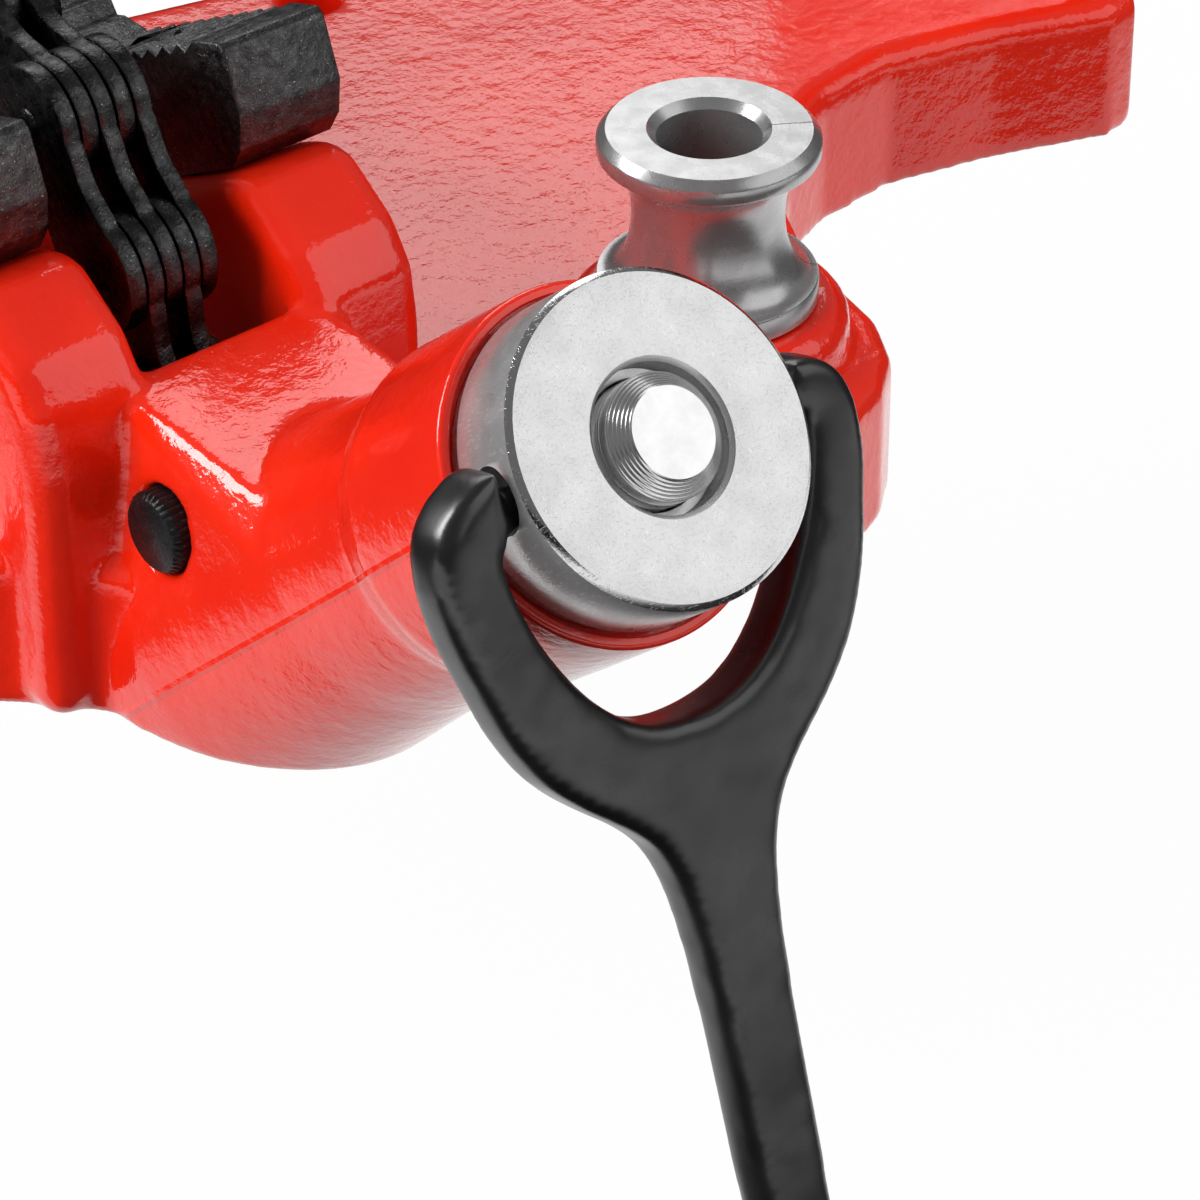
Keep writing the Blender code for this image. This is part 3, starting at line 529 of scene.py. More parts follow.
def smooth_curve(points, spacing):
    """Points along a centripetal curve through the given ones, at about the given spacing."""
    points = [Vector(point) for point in points]
    result = []
    for i in range(len(points) - 1):
        start = points[i]
        end = points[i + 1]
        before = points[i - 1] if i > 0 else start * 2 - end
        after = points[i + 2] if i + 2 < len(points) else end * 2 - start
        start_at = math.sqrt((start - before).length)
        end_at = start_at + math.sqrt((end - start).length)
        after_at = end_at + math.sqrt((after - end).length)
        steps = max(2, int(round((end - start).length / spacing)))
        for k in range(steps):
            at = start_at + (end_at - start_at) * k / steps
            arriving = between(before, start, 0.0, start_at, at)
            passing = between(start, end, start_at, end_at, at)
            leaving = between(end, after, end_at, after_at, at)
            early = between(arriving, passing, 0.0, end_at, at)
            late = between(passing, leaving, start_at, after_at, at)
            result.append(between(early, late, start_at, end_at, at))
    result.append(points[-1])
    return result


# Material helpers
def with_alpha(value):
    """A plain colour gets full alpha. A socket or number stays as it is."""
    return (*value, 1.0) if isinstance(value, tuple) else value


def toned(colour, share):
    """A colour made lighter or darker, at most white."""
    return tuple(min(1.0, c * share) for c in colour)


class NodeGraph:
    """Adds nodes to a tree. An input can take a plain value or another node's socket."""

    def __init__(self, tree):
        self.tree = tree

    def link(self, source, target):
        self.tree.links.new(source, target)

    def put(self, value, socket):
        if hasattr(value, "is_linked"):
            self.link(value, socket)
        else:
            socket.default_value = value

    def node(self, kind, **values):
        """A new node. A value that is no setting of the node goes to the input of that name."""
        made = self.tree.nodes.new(kind)
        for key, value in values.items():
            if hasattr(made, key):
                setattr(made, key, value)
            else:
                self.put(value, made.inputs[key.replace("_", " ")])
        return made

    def span(self, value, low, high, to_low=0.0, to_high=1.0):
        """A value carried from one range into another, and held at the ends."""
        made = self.node("ShaderNodeMapRange", From_Min=low, From_Max=high, To_Min=to_low, To_Max=to_high)
        self.link(value, made.inputs["Value"])
        return made.outputs["Result"]

    def combine(self, kind, operation, first, second=None):
        made = self.node(kind, operation=operation)
        self.put(first, made.inputs[0])
        if second is not None:
            self.put(second, made.inputs[1])
        return made.outputs

    def math(self, operation, first, second=None):
        return self.combine("ShaderNodeMath", operation, first, second)[0]

    def vector_math(self, operation, first, second=None):
        return self.combine("ShaderNodeVectorMath", operation, first, second)

    def ray(self, *kinds):
        """One where a ray is of any of the kinds."""
        path = self.node("ShaderNodeLightPath")
        total = 0.0
        for kind in kinds:
            total = self.math("MAXIMUM", path.outputs["Is %s Ray" % kind], total)
        return total

    def pick(self, choice, when_off, when_on):
        """The second value where the choice is one, the first where it is zero."""
        off = self.math("MULTIPLY", when_off, self.math("SUBTRACT", 1.0, choice))
        return self.math("ADD", self.math("MULTIPLY", when_on, choice), off)


class Finish(NodeGraph):
    """A node material: one Principled shader fed by a few textures."""

    def __init__(self, name):
        self.material = bpy.data.materials.new(name)
        self.material.use_nodes = True
        super().__init__(self.material.node_tree)
        self.shader = self.tree.nodes["Principled BSDF"]
        self.place = self.node("ShaderNodeTexCoord").outputs["Object"]

    def set(self, **values):
        for key, value in values.items():
            self.put(with_alpha(value), self.shader.inputs[key.replace("_", " ")])

    def stretched(self, scale, degrees):
        """Texture places stretched by the scale and turned about Z."""
        turn = (0.0, 0.0, math.radians(degrees))
        return self.node("ShaderNodeMapping", Vector=self.place, Scale=scale, Rotation=turn).outputs["Vector"]

    def noise(self, size, detail=2.0, roughness=0.5, vector=None):
        """Noise whose features are about the given size."""
        made = self.node("ShaderNodeTexNoise", Scale=1.0 / size, Detail=detail, Roughness=roughness)
        self.link(vector or self.place, made.inputs["Vector"])
        return made.outputs["Fac"]

    def dots(self, size, depth, edge):
        """Small round dots about the given size apart, with their depth, for bump."""
        made = self.node("ShaderNodeTexVoronoi", Scale=1.0 / size, Vector=self.place)
        return self.span(made.outputs["Distance"], 0.0, edge, 1.0, 0.0), depth

    def relief(self, size, depth, detail=2.0, roughness=0.5, vector=None):
        """A noise with its depth, for bump."""
        return self.noise(size, detail, roughness, vector), depth

    def blend(self, factor, first, second):
        """A mix of two colours."""
        made = self.node("ShaderNodeMix", data_type="RGBA")
        self.link(factor, made.inputs["Factor"])
        for name, value in (("A", first), ("B", second)):
            socket = [s for s in made.inputs if s.name == name and s.type == "RGBA"][0]
            self.put(with_alpha(value), socket)
        return [s for s in made.outputs if s.type == "RGBA"][0]

    def clouds(self, size, first, second):
        """Two colours that pass into one another in soft clouds."""
        return self.blend(self.span(self.noise(size, SOFT_DETAIL), *CLOUD_BAND), first, second)

    def patches(self, size, low, high):
        """A value that changes softly from place to place."""
        return self.span(self.noise(size, SOFT_DETAIL), *PATCH_BAND, low, high)

    def bump(self, heights):
        """Chain of bumps; each height is (socket, depth in metres)."""
        normal = None
        for height, depth in heights:
            made = self.node("ShaderNodeBump", Strength=1.0, Distance=depth, Height=height)
            if normal is not None:
                self.link(normal, made.inputs["Normal"])
            normal = made.outputs["Normal"]
        self.link(normal, self.shader.inputs["Normal"])
        return normal

    def along(self, direction):
        """Distance of a point along a direction of the piece's own frame."""
        return self.vector_math("DOT_PRODUCT", self.place, direction)["Value"]

    def from_axis(self):
        """Distance from the piece's own local Z axis."""
        flat = self.vector_math("MULTIPLY", self.place, (1.0, 1.0, 0.0))["Vector"]
        return self.vector_math("LENGTH", flat)["Value"]


def mould_line(g):
    """A fine ridge that runs out along the boss on both sides."""
    drift = g.math("MULTIPLY", g.along(OUT), SEAM_DRIFT)
    off = g.math("SUBTRACT", g.math("SUBTRACT", g.along(ABOVE), SEAM_AT), drift)
    ridge = g.span(g.math("ABSOLUTE", off), 0.0, SEAM_HALF, 1.0, 0.0)
    side = g.span(g.math("ABSOLUTE", g.along(ALONG_X)), SEAM_SIDE - SEAM_HALF, SEAM_SIDE)
    start = g.span(g.along(OUT), SEAM_START, SEAM_START + SEAM_FADE)
    return g.math("MULTIPLY", g.math("MULTIPLY", ridge, side), start)


def red_coat(name):
    """Glossy red powder coat over a cast surface: orange peel, cast waviness, small pits and a mould line."""
    g = Finish(name)
    g.set(Roughness=0.45, IOR=1.5, Specular_IOR_Level=0.10)
    g.set(Coat_Weight=1.0, Coat_Roughness=0.075, Coat_IOR=1.60)
    g.set(Base_Color=g.clouds(0.030, RED_DEEP, RED_BRIGHT))
    heights = [g.relief(*COAT_WAVE), g.relief(*COAT_PEEL), g.relief(*COAT_FINE), g.dots(*COAT_PIT)]
    g.set(Coat_Normal=g.bump(heights + [(mould_line(g), SEAM_DEPTH)]))
    return g.material


def plated_steel(name, colour, rough, metallic):
    """Bright plated steel with a tumbled skin of short fine scratches."""
    g = Finish(name)
    g.set(Metallic=metallic, Specular_IOR_Level=0.6)
    dashes = []
    for size, stretch, turn, low, high in DASHES:
        lines = g.noise(size, DASH_DETAIL, DASH_ROUGHNESS, g.stretched(stretch, turn))
        dashes.append(g.span(lines, low, high))
    dash = g.math("MINIMUM", g.math("ADD", *dashes), 1.0)
    cloud = g.clouds(0.0050, toned(colour, PLATED_DULL), colour)
    g.set(Base_Color=g.blend(dash, cloud, toned(colour, PLATED_PALE)))
    g.set(Roughness=g.patches(0.006, rough - 0.05, rough + 0.07))
    g.bump([g.relief(*PLATED_GRAIN), (dash, DASH_DEPTH)])
    return g.material


def hairline(g):
    """One on a fine crack that runs out from the axis."""
    beside = Vector((HAIRLINE.y, -HAIRLINE.x, 0.0))
    wander = g.span(g.noise(HAIRLINE_WANDER_SIZE), 0.0, 1.0, -HAIRLINE_WANDER, HAIRLINE_WANDER)
    off = g.math("ABSOLUTE", g.math("ADD", g.along(beside), wander))
    crack = g.span(off, HAIRLINE_HALF * HAIRLINE_CORE_SHARE, HAIRLINE_HALF, 1.0, 0.0)
    outward = g.span(g.along(HAIRLINE), 0.0, HAIRLINE_HALF)
    return g.math("MULTIPLY", crack, outward)


def turned_steel(name, colour, rough, depth, metallic, cracked=False):
    """Steel from the lathe: fine rings round the piece's own axis, and if asked for a hairline crack."""
    g = Finish(name)
    g.set(Metallic=metallic)
    rings = g.node("ShaderNodeCombineXYZ", X=g.from_axis(), Z=g.along(UPWARD)).outputs["Vector"]
    stain = g.span(g.noise(0.0035, detail=4.0, roughness=0.6), 0.35, 0.70)
    tone = g.blend(stain, colour, toned(colour, TURNED_STAIN))
    if cracked:
        tone = g.blend(hairline(g), tone, CRACK_GREY)
    g.set(Base_Color=tone, Roughness=g.patches(0.004, rough - 0.03, rough + 0.05))
    wide = g.relief(0.0012, depth * 4, vector=rings)
    fine = g.relief(0.00025, depth, detail=3.0, roughness=0.6, vector=rings)
    g.bump([wide, fine, g.relief(0.0011, depth * 3, detail=3.0, roughness=0.6)])
    return g.material


def black_steel(name, colour, rough, grain, depth, metallic):
    """Grainy forged or cast steel, black or worn, with painted glints: bright specks here and there."""
    g = Finish(name)
    g.set(Metallic=metallic, Specular_IOR_Level=0.5)
    tone = g.span(g.noise(0.0022, detail=4.0, roughness=0.65), 0.38, 0.66)
    # Painted glints: random bright specks laid into the colour
    glint = g.span(g.noise(grain * 0.9, detail=2.0, roughness=0.6), 0.66, 0.74)
    base = g.blend(tone, colour, toned(colour, BLACK_PALE))
    g.set(Base_Color=g.blend(glint, base, toned(colour, BLACK_GLINT)))
    g.set(Roughness=g.patches(grain * 4, rough - 0.10, rough + 0.10))
    wide = g.relief(grain * 5, depth * 2.5, detail=3.0, roughness=0.6)
    g.bump([wide, g.relief(grain, depth, detail=3.0, roughness=0.6)])
    return g.material


def vinyl_dip(name):
    """Satin black dip: soft, almost smooth, a few specks."""
    g = Finish(name)
    g.set(Metallic=0.0, IOR=1.5, Specular_IOR_Level=1.0)
    g.set(Base_Color=g.clouds(0.012, DIP_DEEP, DIP_PALE), Roughness=g.patches(0.010, 0.25, 0.34))
    g.bump([g.relief(*DIP_SAG), g.relief(*DIP_FINE), g.dots(*DIP_SPECK)])
    return g.material


RED = red_coat("red_powder_coat")
PLATED = plated_steel("plated_steel", PLATED_GREY, rough=0.30, metallic=0.80)
NUT_EDGE = plated_steel("nut_edge", PLATED_EDGE_GREY, rough=0.14, metallic=1.0)
TURNED = turned_steel("turned_steel", TURNED_GREY, rough=0.26, depth=0.0000045, metallic=0.80, cracked=True)
ROD_TURNED = turned_steel("rod_turned", ROD_GREY, rough=0.22, depth=0.000006, metallic=1.0)
JAW_BLACK = black_steel("jaw_black", JAW_GREY, rough=0.36, grain=0.00040, depth=0.00013, metallic=1.0)
JAW_WORN = black_steel("jaw_worn_edge", JAW_WORN_GREY, rough=0.28, grain=0.00045, depth=0.00006, metallic=1.0)
CHAIN_BLACK = black_steel("chain_black", CHAIN_GREY, rough=0.30, grain=0.00045, depth=0.00009, metallic=1.0)
CHAIN_WORN = black_steel(
    "chain_worn_edge", CHAIN_WORN_GREY, rough=0.26, grain=0.00045, depth=0.00004, metallic=1.0)
PIN_BLACK = black_steel("pin_black", PIN_GREY, rough=0.34, grain=0.00060, depth=0.00008, metallic=0.55)
DIP = vinyl_dip("black_vinyl_dip")


def dress(obj, body, slot, *materials):
    """Give a piece its materials and the body it rides on. The slot is not used."""
    obj.data.materials.clear()
    for mat in materials:
        obj.data.materials.append(mat)
    shade(obj)
    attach(obj, body)


# Casting
def cast_skin():
    """The casting with its edges and corners rounded off as sand casting leaves them."""
    voxel = SKIN_VOXEL
    verts, quads = take_arrays(remesh(copy_of("base_casting", "cast_skin"), voxel))
    out = np.array(OUT)
    along = verts @ out
    weight = np.clip((COLLAR_FROM + COLLAR_FADE - along) / COLLAR_FADE, COLLAR_SOFTNESS, 1.0)
    verts = smooth_verts(verts, quads, SKIN_SMOOTHING, voxel, weight)
    along = verts @ out
    across = verts - along[:, None] * out
    radius = np.linalg.norm(across, axis=1)
    near = np.clip((along - COLLAR_FROM) / COLLAR_PULL_OVER, 0.0, 1.0)
    near = near * (np.abs(radius - COLLAR_RADIUS) < COLLAR_PULL_WITHIN)
    target = across * (COLLAR_RADIUS / np.maximum(radius, TINY))[:, None]
    verts += (target - across) * near[:, None]
    keep = ~((along[quads] > SKIN_END).all(axis=1))
    skin = object_from("cast_skin", verts.tolist(), quads[keep].tolist())
    dress(skin, "vise_body", "red_coat", RED)
    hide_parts("base_casting")


def boss_lip():
    """The machined end of the boss: a thin rounded lip round the recess of the nut."""
    profile = [(COLLAR_RADIUS, LIP_FROM), (COLLAR_RADIUS, BOSS_FACE - LIP_ROUND)]
    for k in range(1, LIP_STEPS):
        angle = math.pi / 2 * k / LIP_STEPS
        inward = LIP_ROUND * (1 - math.cos(angle))
        profile.append((COLLAR_RADIUS - inward, BOSS_FACE - LIP_ROUND * (1 - math.sin(angle))))
    profile += [
        (COLLAR_RADIUS - LIP_ROUND, BOSS_FACE), (RECESS_RADIUS + RECESS_CHAMFER, BOSS_FACE),
        (RECESS_RADIUS, BOSS_FACE - RECESS_CHAMFER), (RECESS_RADIUS, BOSS_FACE - RECESS_DEPTH),
        (ROD_RADIUS + RECESS_ROD_GAP, BOSS_FACE - RECESS_DEPTH),
    ]
    lip = bake(lathe("boss_lip", profile, AXIS_PLACING, closed=False))
    dress(lip, "vise_body", "red_coat", RED)


# Nut and rod
def nut():
    """The round nut: mouth, bore, two hinge holes, and a brighter chamfer round its face."""
    bore_end = NUT_FACE - NUT_MOUTH_DEPTH
    body = bake(lathe("round_nut_dressed", [
        (NUT_MOUTH + NUT_MOUTH_CHAMFER, NUT_FACE), (NUT_RADIUS - NUT_CHAMFER, NUT_FACE),
        (NUT_RADIUS, NUT_FACE - NUT_CHAMFER), (NUT_RADIUS, NUT_BACK + NUT_CHAMFER),
        (NUT_RADIUS - NUT_CHAMFER, NUT_BACK), (NUT_BORE, NUT_BACK), (NUT_BORE, bore_end),
        (NUT_MOUTH, bore_end), (NUT_MOUTH, NUT_FACE - NUT_MOUTH_CHAMFER),
    ], AXIS_PLACING))
    drill_profile = [
        (0.0, NUT_RADIUS + HOLE_DEPTH), (HOLE_RADIUS + HOLE_FLARE, NUT_RADIUS + HOLE_DEPTH),
        (HOLE_RADIUS + HOLE_MOUTH, NUT_RADIUS + HOLE_MOUTH), (HOLE_RADIUS, NUT_RADIUS - HOLE_CHAMFER),
        (HOLE_RADIUS, NUT_RADIUS - HOLE_DEPTH), (0.0, NUT_RADIUS - HOLE_DEPTH),
    ]
    for side in (-1, 1):
        placing = Matrix.Translation(HINGE + ABOVE * HOLE_RISE) @ SIDE_TURN @ Matrix.Scale(side, 4, UPWARD)
        cut(body, fix_normals(bake(lathe("drill", drill_profile, placing, HOLE_SEGMENTS))))
    lay_on_axis(body)
    bevel(body, NUT_EDGE_ROUND, 2, NUT_EDGE_ANGLE)
    dress(body, "nut", "plated_steel", PLATED, NUT_EDGE)
    edge = NUT_CHAMFER * NUT_EDGE_SHARE
    for face in body.data.polygons:
        on_rim = math.hypot(face.center.x, face.center.y) > NUT_RADIUS - edge
        if on_rim and face.center.z > NUT_FACE - edge:
            face.material_index = 1
    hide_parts("round_nut")


def drop_outer_end(bm):
    """Take away what lies beyond the start of the thread."""
    everything = bm.verts[:] + bm.edges[:] + bm.faces[:]
    bmesh.ops.bisect_plane(bm, geom=everything, plane_co=OUT * THREAD_FROM, plane_no=OUT, clear_outer=True)


def rod():
    """The screw rod: its inner end from the solid, a helical thread and a turned cone at its outer end."""
    inner = copy_of("screw_rod", "rod_inner")
    edit_mesh(inner, drop_outer_end)
    tip = NUT_FACE + ROD_PROUD
    steps = int((tip - THREAD_FROM) / THREAD_PITCH * THREAD_RINGS)
    verts = []
    for i in range(steps + 1):
        height = THREAD_FROM + (tip - THREAD_FROM) * i / steps
        below = tip - height
        ripple = min(1.0, below / RING_STEP) * RING_DEPTH
        cone = ROD_TIP_RADIUS + below + ripple * (math.sin(2 * math.pi * below / RING_STEP) - 1.0)
        fade = min(1.0, max(0.0, (NUT_FACE - THREAD_CLEAR - height) / THREAD_PITCH))
        for k, angle in enumerate(turns(ROD_SEGMENTS)):
            phase = (height / THREAD_PITCH - k / ROD_SEGMENTS) % 1.0
            groove = max(0.0, 1.0 - abs(phase - 0.5) * 2.0 - THREAD_LAND) / (1.0 - THREAD_LAND)
            radius = min(ROD_RADIUS - THREAD_DEPTH * min(groove, THREAD_ROOT) * fade, cone)
            verts.append(polar(radius, angle, height))
    faces = ring_faces(steps + 1, ROD_SEGMENTS)
    faces.append(tuple(range(steps * ROD_SEGMENTS, (steps + 1) * ROD_SEGMENTS)))
    body = join("screw_rod_dressed", [inner, object_from("thread", verts, faces, AXIS_PLACING)])
    lay_on_axis(body)
    dress(body, "screw", "plated_steel", ROD_TURNED)
    shade(body, ROD_SMOOTH_ANGLE)
    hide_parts("screw_rod")


# Spool
def spool():
    """The turned spool: chamfered top, two flanges and a hollow waist."""
    low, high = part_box("bending_spool")
    centre = (Vector(low) + Vector(high)) / 2
    half = SPOOL_HEIGHT / 2
    edge = half - SPOOL_FLANGE
    flank = SPOOL_RADIUS - SPOOL_ARRIS
    profile = [
        (SPOOL_BORE + SPOOL_CHAMFER, half), (SPOOL_RADIUS - SPOOL_CHAMFER, half),
        (flank, half - SPOOL_CHAMFER + SPOOL_ARRIS), (SPOOL_RADIUS, half - SPOOL_CHAMFER - SPOOL_ARRIS),
        (SPOOL_RADIUS, edge + 2 * SPOOL_ARRIS), (flank, edge),
    ]
    for k in range(1, SPOOL_WAIST_STEPS):
        angle = math.pi * k / SPOOL_WAIST_STEPS
        sag = (SPOOL_RADIUS - SPOOL_NECK - SPOOL_ARRIS) * math.sin(angle) ** SPOOL_WAIST_POWER
        profile.append((flank - sag, edge * math.cos(angle)))
    profile += [
        (flank, -edge), (SPOOL_RADIUS, -edge - 2 * SPOOL_ARRIS), (SPOOL_RADIUS, SPOOL_FOOT - half),
        (SPOOL_RADIUS - SPOOL_FOOT, -half), (SPOOL_BORE, -half), (SPOOL_BORE, half - SPOOL_CHAMFER),
    ]
    body = lathe("bending_spool_dressed", profile, Matrix.Translation(centre))
    dress(body, "vise_body", "spool_steel", TURNED)
    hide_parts("bending_spool")


# Fork handle
def from_shares(shares, side):
    """Shares of the fork's reach as points in metres, on one side of the handle."""
    return [(side * x * FORK_REACH, y * FORK_REACH) for x, y in shares]


def fork():
    """The forked handle as one forging, with its two nibs and a higher left prong."""
    down = Vector((0.0, -math.sin(HANDLE_LEAN), -math.cos(HANDLE_LEAN)))
    placing = frame_of(HINGE, ALONG_X.cross(down))
    right = from_shares(PRONG_RIGHT_SHARES + FORK_OUTER_SHARES, 1)
    left = from_shares(PRONG_LEFT_SHARES + FORK_OUTER_SHARES, -1)
    inside = from_shares(FORK_INNER_SHARES[::-1], -1) + from_shares(FORK_INNER_SHARES, 1)
    curve = smooth_curve(right + left[::-1], FORK_SPACING) + smooth_curve(inside, FORK_SPACING)
    outline = [tuple(point) for point in curve]
    body = bake(prism("fork", outline, -HANDLE_HALF_THICKNESS, HANDLE_HALF_THICKNESS, placing))
    bevel(body, FORK_EDGE, FORK_EDGE_STEPS, FORK_EDGE_ANGLE)
    pieces = [body]
    for side in (-1, 1):
        low, high = sorted((side * NIB_TIP, side * (FORK_REACH * NIB_ROOT_SHARE)))
        profile = [(0.0, high), (NIB_RADIUS, high), (NIB_RADIUS, low), (0.0, low)]
        pieces.append(lathe("nib", profile, Matrix.Translation(HINGE) @ SIDE_TURN, NIB_SEGMENTS))
    verts, quads = take_arrays(remesh(join("fork_handle_dressed", pieces), FORK_VOXEL))
    verts = smooth_verts(verts, quads, FORK_SMOOTHING, FORK_VOXEL)
    body = object_from("fork_handle_dressed", verts.tolist(), quads.tolist())
    dress(body, "handle", "black_dip", DIP)
    shade(body, FORK_SMOOTH_ANGLE)
    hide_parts("fork_handle", "handle_bar")


# Guide pin
def guide_pin():
    """Black pin through the block, its round head knurled."""
    low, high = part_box("guide_pin")
    head_out = low[0] - GUIDE.x
    head_in = head_out + PIN_HEAD_LENGTH
    tail = high[0] - GUIDE.x
    flat = PIN_HEAD_RADIUS - PIN_HEAD_CHAMFER
    levels = (
        (head_out, flat, 0.0), (head_out + PIN_ARRIS_DEEP, flat + PIN_ARRIS_WIDE, 0.0),
        (head_out + PIN_HEAD_CHAMFER, PIN_HEAD_RADIUS, 1.0), (head_in, PIN_HEAD_RADIUS, 1.0),
    )
    segments = KNURL_COUNT * KNURL_STEPS
    verts = []
    for height, radius, knurled in levels:
        for angle in turns(segments):
            tooth = abs(math.sin(angle * KNURL_COUNT / 2.0))
            verts.append(polar(radius - KNURL_DEPTH * knurled * (1.0 - tooth), angle, height))
    faces = [tuple(range(segments))] + ring_faces(len(levels), segments)
    placing = Matrix.Translation(GUIDE) @ SIDE_TURN
    head = object_from("pin_head", verts, faces, placing)
    shaft = lathe("pin_shaft", [
        (0.0, head_in - PIN_IN_HEAD), (PIN_RADIUS, head_in - PIN_IN_HEAD),
        (PIN_RADIUS, tail - PIN_TAIL_CHAMFER), (PIN_RADIUS - PIN_TAIL_CHAMFER, tail), (0.0, tail),
    ], placing, PIN_SEGMENTS)
    body = fix_normals(join("guide_pin_dressed", [head, shaft]))
    dress(body, "vise_body", "pin_steel", PIN_BLACK)
    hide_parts("guide_pin")


# Chain
def plate_outline():
    """Smooth figure-eight outline of a chain plate, pins at the origin and one pitch along X."""
    half = []
    for k in range(LOBE_STEPS):
        angle = math.pi - (math.pi - NECK_ANGLE) * k / (LOBE_STEPS - 1)
        half.append((LOBE_RADIUS * math.cos(angle), LOBE_RADIUS * math.sin(angle)))
    neck_x, neck_y = half[-1]
    for k in range(1, WAIST_STEPS + 1):
        share = k / WAIST_STEPS
        ease = (1 - math.cos(math.pi * share)) / 2
        half.append((neck_x + (PITCH / 2 - neck_x) * share, neck_y + (WAIST_HALF - neck_y) * ease))
    top = half + [(PITCH - x, y) for x, y in reversed(half[:-1])]
    bottom = [(x, -y) for x, y in reversed(top[1:-1])]
    return top + bottom


def link(index):
    """One chain link with rounded plate edges, and its two pins if it is an outer link."""
    body_name = "link_%02d" % index
    names = [name for name in NODES if name.startswith("chain_link_%02d" % index)]
    pivot = Vector(JOINTS["%s_bend" % body_name]["pos_m"])
    corners = [Vector(corner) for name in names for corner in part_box(name)]
    centre = sum(corners, Vector()) / len(corners)
    along = Vector((0.0, centre.y - pivot.y, centre.z - pivot.z)).normalized()
    placing = Matrix.Translation(pivot) @ axes(along, ALONG_X.cross(along), ALONG_X)
    outline = plate_outline()
    half = PLATE_THICKNESS / 2
    parts = []
    for offset in (-PLATE_STEP, PLATE_STEP) if index % 2 else (-2 * PLATE_STEP, 0.0, 2 * PLATE_STEP):
        plate = prism("plate", outline, offset - half, offset + half, placing)
        plate.data.materials.append(CHAIN_BLACK)
        plate.data.materials.append(CHAIN_WORN)
        bevel(plate, PLATE_EDGE, 2, PLATE_EDGE_ANGLE, 1)
        parts.append(plate)
    if index % 2 == 0:
        reach = 2 * PLATE_STEP + half + CHAIN_PIN_PROUD
        dome = [(CHAIN_PIN_RADIUS * share, reach - drop) for share, drop in CHAIN_PIN_DOME]
        profile = dome + [(radius, -height) for radius, height in reversed(dome)]
        for shift in (0.0, PITCH):
            pin_placing = placing @ Matrix.Translation((shift, 0.0, 0.0))
            parts.append(lathe("pin", profile, pin_placing, CHAIN_PIN_SEGMENTS))
    body = join("%s_dressed" % body_name, parts)
    dress(body, body_name, "chain_steel", CHAIN_BLACK, CHAIN_WORN)
    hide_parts(*names)


# Jaws
def merge_flats(bm):
    """One face from neighbours that lie in one plane."""
    bmesh.ops.dissolve_limit(bm, angle_limit=JAW_FLAT_ANGLE, verts=bm.verts, edges=bm.edges)


def jaw(name):
    """A toothed jaw from the solid, its edges rounded and worn bright."""
    body = copy_of(name, name + "_dressed")
    body.data.materials.append(JAW_BLACK)
    body.data.materials.append(JAW_WORN)
    edit_mesh(body, merge_flats)
    bevel(body, JAW_EDGE, 2, JAW_EDGE_ANGLE, 1)
    dress(body, "vise_body", "jaw_steel", JAW_BLACK, JAW_WORN)
    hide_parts(name)


cast_skin()
boss_lip()
nut()
rod()
spool()
fork()
guide_pin()
for link_index in range(1, LINK_COUNT + 1):
    link(link_index)
for jaw_name in ("jaw_left", "jaw_right"):
    jaw(jaw_name)


def refinish(node, mat):
    """A CAD node that keeps its shape gets a finer finish."""
    obj = NODES[node]
    if not obj.material_slots:
        obj.data.materials.append(mat)
    for place in obj.material_slots:
        place.material = mat


for node_name in NODES:
    if node_name.startswith("jaw_screw"):
        refinish(node_name, PIN_BLACK)
refinish("guide_roller", PIN_BLACK)
refinish("rod_clevis_pin", PIN_BLACK)
refinish("thrust_washer", PLATED)


# Camera
def make_camera():
    ahead = math.cos(CAMERA_AZIMUTH)
    aside = math.sin(CAMERA_AZIMUTH)
    level = math.cos(CAMERA_ELEVATION)
    right = Vector((ahead, aside, 0.0))
    back = Vector((aside * level, -ahead * level, math.sin(CAMERA_ELEVATION)))
    data = bpy.data.cameras.new("camera")
    data.lens = CAMERA_LENS
    data.sensor_width = CAMERA_SENSOR
    data.clip_start = CAMERA_NEAR
    data.clip_end = CAMERA_FAR
    camera = add_object("camera", data)
    camera.matrix_world = Matrix.Translation(CAMERA_PLACE) @ axes(right, back.cross(right), back)
    bpy.context.scene.camera = camera


# Studio
def soft_light(name, direction, distance, size, level, across=None, role="both"):
    """A rectangular soft light that shines at the part. The level is its brightness seen directly.

    A light has the role "fill" if it only lights, "mirror" if it is only seen in glossy surfaces."""
    data = bpy.data.lights.new(name, "AREA")
    data.shape = "RECTANGLE"
    data.size = size[0]
    data.size_y = size[1]
    data.energy = level * size[0] * size[1] * math.pi
    z_dir = Vector(direction).normalized()
    x_dir = Vector(across or UPWARD.cross(z_dir))
    x_dir = (x_dir - z_dir * x_dir.dot(z_dir)).normalized()
    lamp = add_object(name, data)
    place = LIGHT_TARGET + z_dir * distance
    lamp.matrix_world = Matrix.Translation(place) @ axes(x_dir, z_dir.cross(x_dir), z_dir)
    lamp.visible_camera = False
    lamp.visible_glossy = role != "fill"
    lamp.visible_diffuse = role != "mirror"


def make_world():
    """A white background, dimmer as a light and dimmer still where it is mirrored."""
    world = bpy.data.worlds.new("studio")
    bpy.context.scene.world = world
    world.use_nodes = True
    background = world.node_tree.nodes["Background"]
    background.inputs["Color"].default_value = (1.0, 1.0, 1.0, 1.0)
    g = NodeGraph(world.node_tree)
    lit = g.span(g.ray("Glossy"), 0.0, 1.0, WORLD_LEVEL, ROOM_MIRRORED)
    strength = g.pick(g.ray("Camera", "Transmission"), lit, 1.0)
    g.link(strength, background.inputs["Strength"])


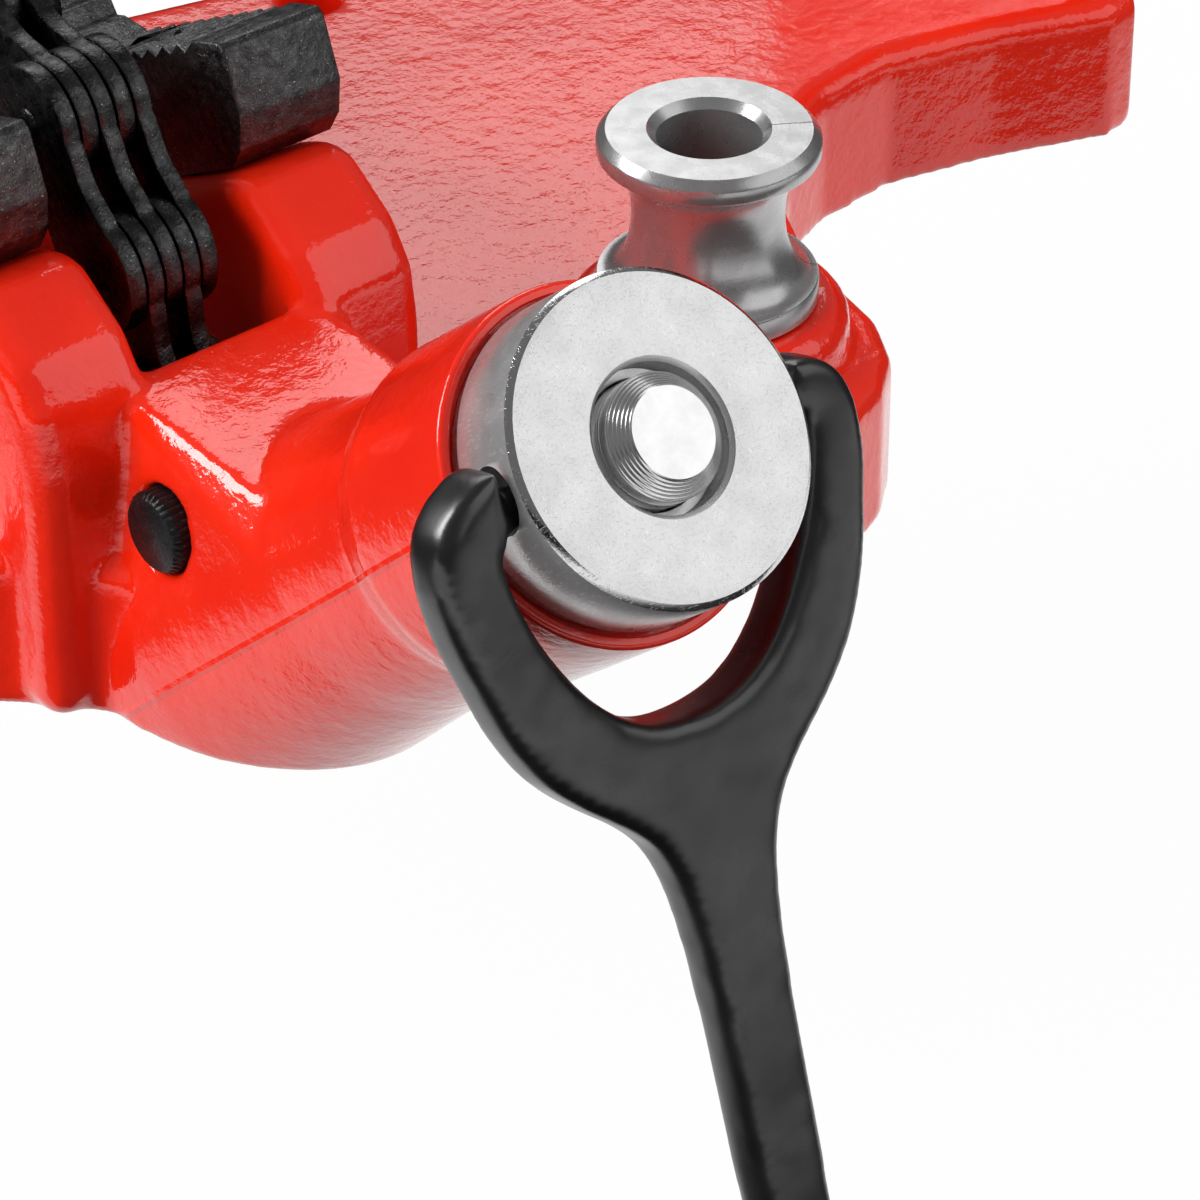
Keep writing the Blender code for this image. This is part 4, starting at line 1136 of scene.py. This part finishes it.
def make_floor():
    """White floor. In a glossy surface it is bright behind the part and dark close in front of it."""
    signs = ((-1, -1), (1, -1), (1, 1), (-1, 1))
    corners = [(x * FLOOR_HALF, y * FLOOR_HALF, FLOOR_HEIGHT) for x, y in signs]
    floor = object_from("floor", corners, [(0, 1, 2, 3)])
    g = Finish("floor_white")
    g.set(Roughness=MATT_ROUGHNESS, Specular_IOR_Level=0.1)
    g.set(Base_Color=g.span(g.ray("Diffuse"), 0.0, 1.0, FLOOR_PALE, FLOOR_BOUNCE))
    away = g.vector_math("DISTANCE", g.place, FLOOR_CENTRE)["Value"]
    behind = g.span(away, FLOOR_BRIGHT_TO, FLOOR_DARK_FROM, FLOOR_MIRRORED, ROOM_DARK)
    ahead = g.span(away, FRONT_DARK_TO, FRONT_BRIGHT_FROM, ROOM_DARK, FLOOR_MIRRORED)
    mirrored = g.pick(g.span(g.along(FLOOR_BACKWARD), FRONT_FROM, BACK_FROM), ahead, behind)
    glossy = g.ray("Glossy")
    glow = g.node("ShaderNodeEmission", Strength=g.pick(glossy, 1.0, mirrored))
    share = g.math("MAXIMUM", glossy, g.math("MULTIPLY", g.ray("Camera"), FLOOR_GLOW))
    mix = g.node("ShaderNodeMixShader", Fac=share)
    g.link(g.shader.outputs["BSDF"], mix.inputs[1])
    g.link(glow.outputs["Emission"], mix.inputs[2])
    g.link(mix.outputs["Shader"], g.tree.nodes["Material Output"].inputs["Surface"])
    floor.data.materials.append(g.material)


def make_dark_room():
    """A low dark wall round the floor, seen only in glossy surfaces."""
    heights = (FLOOR_HEIGHT, ROOM_TOP)
    verts = [polar(ROOM_RADIUS, angle, height) for height in heights for angle in turns(ROOM_SEGMENTS)]
    wall = object_from("room_wall", verts, ring_faces(2, ROOM_SEGMENTS))
    g = Finish("room_dark")
    g.set(Base_Color=(ROOM_DARK, ROOM_DARK, ROOM_DARK), Roughness=MATT_ROUGHNESS, Specular_IOR_Level=0.0)
    wall.data.materials.append(g.material)
    wall.visible_camera = False
    wall.visible_diffuse = False
    wall.visible_shadow = False
    wall.visible_transmission = False


make_camera()
make_world()
make_floor()
make_dark_room()
soft_light("back_right", direction=(0.415, 0.67, 0.60), distance=1.5, size=(0.70, 0.70), level=2.3)
soft_light("front_high", direction=(0.53, -0.66, 0.53), distance=1.5, size=(1.5, 1.1), level=1.0,
           role="mirror")
soft_light("back_left_strip", direction=(-0.566, 0.63, 0.53), distance=1.4, size=(0.75, 0.42), level=12.0,
           across=(0.53, 0.0, 0.566), role="mirror")
soft_light("left_fill", direction=(-0.85, 0.18, 0.50), distance=1.5, size=(0.9, 0.9), level=9.0, role="fill")
soft_light("right_fill", direction=(0.82, -0.50, 0.28), distance=1.5, size=(0.9, 0.9), level=4.5, role="fill")
soft_light("top_fill", direction=(0.15, -0.20, 0.95), distance=1.6, size=(1.0, 1.0), level=0.9, role="fill")

bpy.context.scene.view_settings.view_transform = "Standard"
